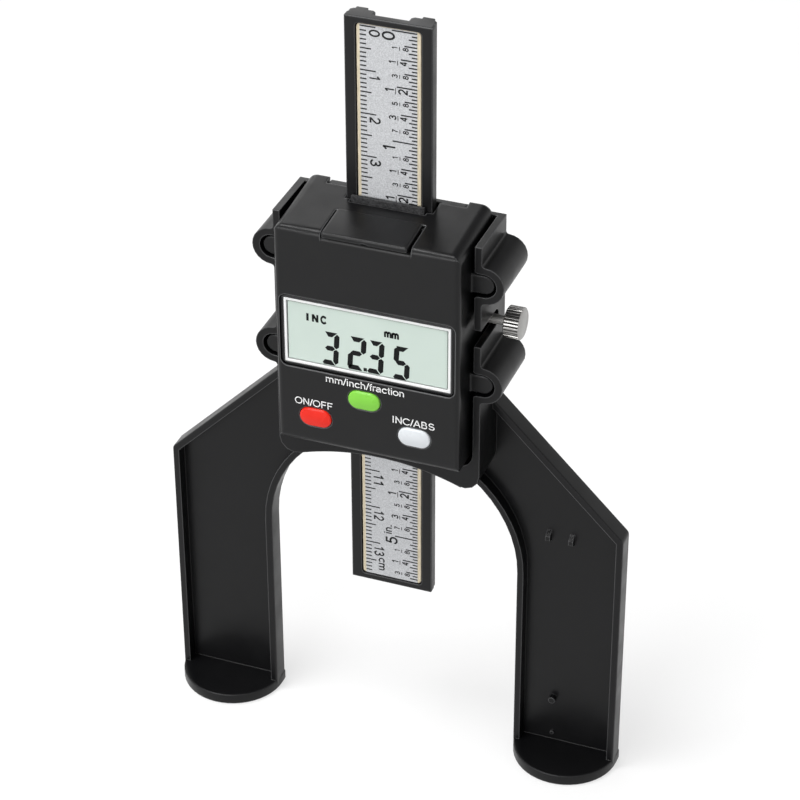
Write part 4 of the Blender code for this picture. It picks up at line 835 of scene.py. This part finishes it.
def carved(node, name, cutting, slot):
    """Replaces a CAD node of the gauge with a copy of its shape less these cutting shapes."""
    whole = bpy.data.objects.new(name + "_whole", NODES[node].data.copy())
    cutters = [bpy.data.objects.new(name + "_cutter", mesh_of(name + "_cutter", shape)) for shape in cutting]
    for obj in [whole] + cutters:
        bpy.context.scene.collection.objects.link(obj)
    for cutter in cutters:
        cut = whole.modifiers.new("cut", "BOOLEAN")
        cut.object = cutter
        cut.operation = "DIFFERENCE"
        cut.solver = "EXACT"
    mesh = bpy.data.meshes.new_from_object(whole.evaluated_get(bpy.context.evaluated_depsgraph_get()))
    for obj in [whole] + cutters:
        bpy.data.objects.remove(obj, do_unlink=True)
    mesh.name = name
    piece = add_piece(name, mesh, MATERIALS[slot], "gauge")
    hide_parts(node)
    round_edges(piece)


# The housing and its bezel


def fillet_cutter(radius, place, reach):
    """Cuts a fillet along an edge. Place turns distances into the solid from its two faces into a point."""
    turns = [math.radians(180 + 90 * i / FILLET_STEPS) for i in range(FILLET_STEPS + 1)]
    arc = [(radius + radius * math.cos(turn), radius + radius * math.sin(turn)) for turn in turns]
    outline = [place(u, v) for u, v in [(-MM, -MM), (-MM, radius)] + arc + [(radius, -MM)]]
    shape = bmesh.new()
    near = [shape.verts.new(point) for point in outline]
    far = [shape.verts.new(point + reach) for point in outline]
    shape.faces.new(near)
    shape.faces.new(far[::-1])
    for i in range(len(outline)):
        shape.faces.new((near[i], near[i - 1], far[i - 1], far[i]))
    return shape


def side_cutters(side, low, high, front_top):
    """Cutters for one side's edge with the housing's front, and for its edge with the top."""
    front_edge = fillet_cutter(
        SIDE_FILLET,
        lambda u, v: Vector((side * (HOUSING_HALF - u), low.y + v, low.z - MM)),
        Vector((0, 0, high.z - low.z + 2 * MM)),
    )
    top_edge = fillet_cutter(
        CORNER_FILLET,
        lambda u, v: Vector((side * (HOUSING_HALF - u), low.y - MM, front_top - v - MM * TOP_SLOPE)),
        (high.y - low.y + 2 * MM) * Vector((0, 1, TOP_SLOPE)),
    )
    return [front_edge, top_edge]


def build_housing():
    """The housing with larger fillets and with a wider, deeper opening round the display."""
    low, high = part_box("housing_shell")
    frame_low, frame_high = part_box("lcd_frame")
    opening = bmesh.new()
    outline = around(frame_low, frame_high, BEZEL_REACH + BEZEL_GAP, BEZEL_CORNER + BEZEL_GAP)
    slab(opening, outline, PANEL_FACE - MM, PANEL_FACE + BEZEL_DEPTH)
    front_top = high.z - (high.y - low.y) * TOP_SLOPE
    top_edge = fillet_cutter(
        TOP_FILLET,
        lambda u, v: Vector((-HOUSING_HALF - MM, low.y + u, front_top - v + u * TOP_SLOPE)),
        Vector((2 * (HOUSING_HALF + MM), 0, 0)),
    )
    cutting = [opening, top_edge]
    for side in (-1, 1):
        cutting += side_cutters(side, low, high, front_top)
    carved("housing_shell", "housing_shell_moulded", cutting, "black_abs")


def build_bezel():
    """The black ring that lies in the housing's opening, round the display's frame."""
    low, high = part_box("lcd_frame")
    shape = bmesh.new()
    rings = []
    for reach, corner, depth in (
        (BEZEL_REACH, BEZEL_CORNER, BEZEL_DEPTH),
        (BEZEL_REACH, BEZEL_CORNER, BEZEL_SETBACK + BEZEL_EDGE),
        (BEZEL_REACH - BEZEL_EDGE / 3, BEZEL_CORNER - BEZEL_EDGE / 3, BEZEL_SETBACK + BEZEL_EDGE / 3),
        (BEZEL_REACH - BEZEL_EDGE, BEZEL_CORNER - BEZEL_EDGE, BEZEL_SETBACK),
        (FRAME_CLEARANCE, FRAME_CLEARANCE, BEZEL_SETBACK),
        (FRAME_CLEARANCE, FRAME_CLEARANCE, BEZEL_DEPTH),
    ):
        outline = around(low, high, reach, corner)
        rings.append([shape.verts.new((x, PANEL_FACE + depth, z)) for x, z in outline])
    bridge(shape, rings + rings[:1], capped=False)
    mesh = mesh_of("display_bezel", shape, smooth=40)
    add_piece("display_bezel", mesh, MATERIALS["black_abs"], "gauge")


# Screws


def build_tray_screws():
    """The screws behind the ears, with the cross recess that a driver fits."""
    half, arm = CROSS_WIDTH / 2, CROSS_LENGTH / 2
    outline = [(arm, -half), (arm, half), (half, half), (half, arm), (-half, arm), (-half, half),
               (-arm, half), (-arm, -half), (-half, -half), (-half, -arm), (half, -arm), (half, -half)]
    for i in range(1, TRAY_SCREWS + 1):
        low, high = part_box(f"tray_screw_{i}")
        cx, cz = (low.x + high.x) / 2, (low.z + high.z) / 2
        cross = bmesh.new()
        slab(cross, [(cx + x, cz + z) for x, z in outline], high.y - CROSS_DEPTH, high.y + MM)
        carved(f"tray_screw_{i}", f"tray_screw_{i}_cross", [cross], "steel")


def screw_ring(shape, x, base, groove):
    """A ring of points round the lock screw's axis, with grooves of this depth between its ridges."""
    count = RIDGES * RIDGE_STEPS
    made = []
    for i in range(count):
        wave = min(1.0, RIDGE_WIDENING * abs(math.sin(math.pi * i / RIDGE_STEPS)))
        r = base - groove * (1 - wave)
        angle = 2 * math.pi * i / count
        point = (x, LOCK_AXIS[0] + r * math.cos(angle), LOCK_AXIS[1] + r * math.sin(angle))
        made.append(shape.verts.new(point))
    return made


def build_lock_screw():
    """The lock screw with its turned stem, and a knurled head with a chamfer at each end."""
    shape = bmesh.new()
    rings = [screw_ring(shape, x, radius, groove) for x, radius, groove in (
        (LOCK_LOW.x, STEM_END_RADIUS, 0),
        (LOCK_LOW.x + STEM_END_LENGTH, STEM_RADIUS, 0),
        (KNOB_START - NECK_LENGTH, STEM_RADIUS, 0),
        (KNOB_START, NECK_RADIUS, 0),
        (KNOB_START, KNOB_RADIUS - 0.45 * MM, 0),
        (KNOB_START + 0.2 * MM, KNOB_RADIUS - 0.12 * MM, 0.1 * MM),
        (KNURL_START, KNOB_RADIUS, GROOVE_DEPTH),
        (KNURL_END, KNOB_RADIUS, GROOVE_DEPTH),
        (KNURL_END + 0.02 * MM, KNOB_RADIUS - 0.04 * MM, 0),
        (KNOB_END - 0.04 * MM, KNOB_RADIUS - 0.28 * MM, 0),
        (KNOB_END, KNOB_RADIUS - 0.34 * MM, 0),
    )]
    bridge(shape, rings)
    mesh = mesh_of("lock_screw_turned", shape, smooth=38)
    piece = add_piece("lock_screw_turned", mesh, KNURLED_STEEL, "lock_screw")
    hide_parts("lock_screw")


# Keys


def capsule_ring(shape, width, height, inset, depth, centre):
    """A ring of points on the outline of a key, with half-round ends, this far inside its edge."""
    radius = height / 2 - inset
    reach = (width - height) / 2
    ring = []
    for side, start in ((1, -90), (-1, 90)):
        for i in range(KEY_END_STEPS + 1):
            angle = math.radians(start + 180 * i / KEY_END_STEPS)
            x = centre[0] + side * reach + radius * math.cos(angle)
            ring.append(shape.verts.new((x, depth, centre[1] + radius * math.sin(angle))))
    return ring


def build_key(node, slot):
    """A key with its flange, a rounded edge and a slightly domed face."""
    low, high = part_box(node)
    centre = ((low.x + high.x) / 2, (low.z + high.z) / 2)
    front, back = low.y, high.y
    flange = high.x - low.x - KEY_WIDTH
    step = back - KEY_FLANGE_THICKNESS
    shape = bmesh.new()
    rings = [
        capsule_ring(shape, KEY_WIDTH + flange, KEY_HEIGHT + flange, 0, back, centre),
        capsule_ring(shape, KEY_WIDTH + flange, KEY_HEIGHT + flange, 0, step, centre),
        capsule_ring(shape, KEY_WIDTH, KEY_HEIGHT, 0, step, centre),
    ]
    for i in range(KEY_STEPS + 1):
        angle = math.radians(90 * i / KEY_STEPS)
        inset = KEY_EDGE * (1 - math.cos(angle))
        depth = front + KEY_DOME + KEY_EDGE * (1 - math.sin(angle))
        rings.append(capsule_ring(shape, KEY_WIDTH, KEY_HEIGHT, inset, depth, centre))
    for i in range(1, KEY_STEPS + 1):
        share = i / KEY_STEPS
        inset = KEY_EDGE + (KEY_HEIGHT / 2 - KEY_EDGE) * share * KEY_CROWN_SHARE
        depth = front + KEY_DOME * (1 - math.sin(math.radians(90 * share)))
        rings.append(capsule_ring(shape, KEY_WIDTH, KEY_HEIGHT, inset, depth, centre))
    bridge(shape, rings)
    piece = add_piece(node + "_cap", mesh_of(node + "_cap", shape, smooth=50), MATERIALS[slot], node)
    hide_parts(node)


# Studio


def softbox(name, place, width, height, watts):
    data = bpy.data.lights.new(name, "AREA")
    data.shape = "RECTANGLE"
    data.size = width
    data.size_y = height
    data.energy = watts
    made = bpy.data.objects.new(name, data)
    bpy.context.scene.collection.objects.link(made)
    made.location = place
    made.rotation_euler = (Vector(LIGHT_TARGET) - Vector(place)).to_track_quat("-Z", "Y").to_euler()


def seen_white(made, white, plain, surface):
    """Links the plain shader for light and shadow, and the white one for all that is seen or mirrored."""
    path = made.node("ShaderNodeLightPath")
    seen = made.combined("MAXIMUM", path.outputs["Is Camera Ray"], path.outputs["Is Glossy Ray"])
    seen = made.combined("MAXIMUM", seen, path.outputs["Is Transmission Ray"])
    mix = made.node("ShaderNodeMixShader")
    made.link(seen, mix.inputs[0])
    made.link(plain, mix.inputs[1])
    made.link(white, mix.inputs[2])
    made.link(mix.outputs[0], surface)


def build_world():
    """White up to well above the floor's horizon, and a dim ceiling in reflections."""
    world = bpy.data.worlds.new("studio")
    bpy.context.scene.world = world
    world.use_nodes = True
    world.node_tree.nodes.clear()
    made = Nodes(world.node_tree)
    soft = made.node("ShaderNodeBackground", {"Color": (1, 1, 1, 1), "Strength": SOFT_LIGHT})
    white = made.node("ShaderNodeBackground", {"Color": (1, 1, 1, 1)})
    height = made.node("ShaderNodeSeparateXYZ")
    made.link(made.node("ShaderNodeTexCoord").outputs["Generated"], height.inputs[0])
    dimmed = made.spread(height.outputs["Z"], 1.0, CEILING_LIGHT, start=WALL_TOP, end=CEILING_START)
    made.link(dimmed, white.inputs["Strength"])
    out = made.node("ShaderNodeOutputWorld")
    seen_white(made, white.outputs[0], soft.outputs[0], out.inputs["Surface"])


def build_floor():
    """Floor with the object's shadow, which turns plain white farther out."""
    shape = bmesh.new()
    bmesh.ops.create_grid(shape, x_segments=1, y_segments=1, size=FLOOR_HALF)
    mesh = mesh_of("floor", shape)
    floor = bpy.data.objects.new("floor", mesh)
    bpy.context.scene.collection.objects.link(floor)
    floor.location.z = -FLOOR_DROP
    made = Shader("floor", (FLOOR_GREY, FLOOR_GREY, FLOOR_GREY), 0.9, specular=0.0)
    lift = made.node("ShaderNodeEmission", {"Color": (1, 1, 1, 1), "Strength": FLOOR_LIFT})
    lifted = made.node("ShaderNodeAddShader")
    made.link(made.base.outputs[0], lifted.inputs[0])
    made.link(lift.outputs[0], lifted.inputs[1])
    white = made.node("ShaderNodeEmission", {"Color": (1, 1, 1, 1)})
    distance = made.node("ShaderNodeVectorMath", operation="LENGTH")
    made.link(made.place, distance.inputs[0])
    whole = made.node("ShaderNodeMixShader")
    farther = made.spread(distance.outputs["Value"], 0.0, 1.0, start=FLOOR_LIT, end=FLOOR_WHITE)
    made.link(farther, whole.inputs[0])
    made.link(lifted.outputs[0], whole.inputs[1])
    made.link(white.outputs[0], whole.inputs[2])
    surface = made.tree.nodes["Material Output"].inputs["Surface"]
    seen_white(made, whole.outputs[0], made.base.outputs[0], surface)
    mesh.materials.append(made.material)


def build_camera():
    """The camera that the photograph was solved for."""
    azimuth, elevation, roll = CAMERA_AZIMUTH, CAMERA_ELEVATION, CAMERA_ROLL
    back = Vector((
        math.sin(azimuth) * math.cos(elevation),
        -math.cos(azimuth) * math.cos(elevation),
        math.sin(elevation),
    ))
    right = Vector((math.cos(azimuth), math.sin(azimuth), 0))
    up = back.cross(right)
    turned_right = right * math.cos(roll) + up * math.sin(roll)
    turned_up = up * math.cos(roll) - right * math.sin(roll)
    data = bpy.data.cameras.new("camera")
    data.lens = CAMERA_LENS
    data.sensor_width = CAMERA_SENSOR
    data.clip_start = 0.01
    data.clip_end = 20
    camera = bpy.data.objects.new("camera", data)
    bpy.context.scene.collection.objects.link(camera)
    rotation = Matrix((turned_right, turned_up, back)).transposed().to_4x4()
    camera.matrix_world = Matrix.Translation(CAMERA_PLACE) @ rotation
    bpy.context.scene.camera = camera


clear_start()
build_housing()
build_bezel()
build_tray_screws()
dress_nodes()
build_sticker()
build_ticks("metric_ticks", METRIC_TICKS, MM, STICKER_LEFT, 1, METRIC_LENGTHS)
build_ticks("inch_ticks", INCH_TICKS, INCH / 32, STICKER_RIGHT, -1, INCH_LENGTHS)
build_metric_numbers()
build_inch_numbers()
build_fractions()
build_digits()
build_words("display_words", DISPLAY_WORDS, DISPLAY_WORD_HEIGHT, GLASS_FACE, DISPLAY_WEIGHT, SEGMENTS)
build_words("key_labels", LABELS, LABEL_HEIGHT, PANEL_FACE, LABEL_WEIGHT, WHITE_INK)
build_key("button_power", "key_red")
build_key("button_units", "key_green")
build_key("button_mode", "key_white")
build_lock_screw()
build_camera()
build_world()
build_floor()
softbox("key_light", (-0.34, -0.22, 1.15), 0.4, 0.4, 8)
softbox("fill_light", (-0.3, -1.1, 0.45), 0.7, 0.5, 7.5)
softbox("back_light", (-0.55, 0.95, 0.75), 0.5, 0.5, 1.8)
bpy.context.scene.view_settings.view_transform = "Standard"
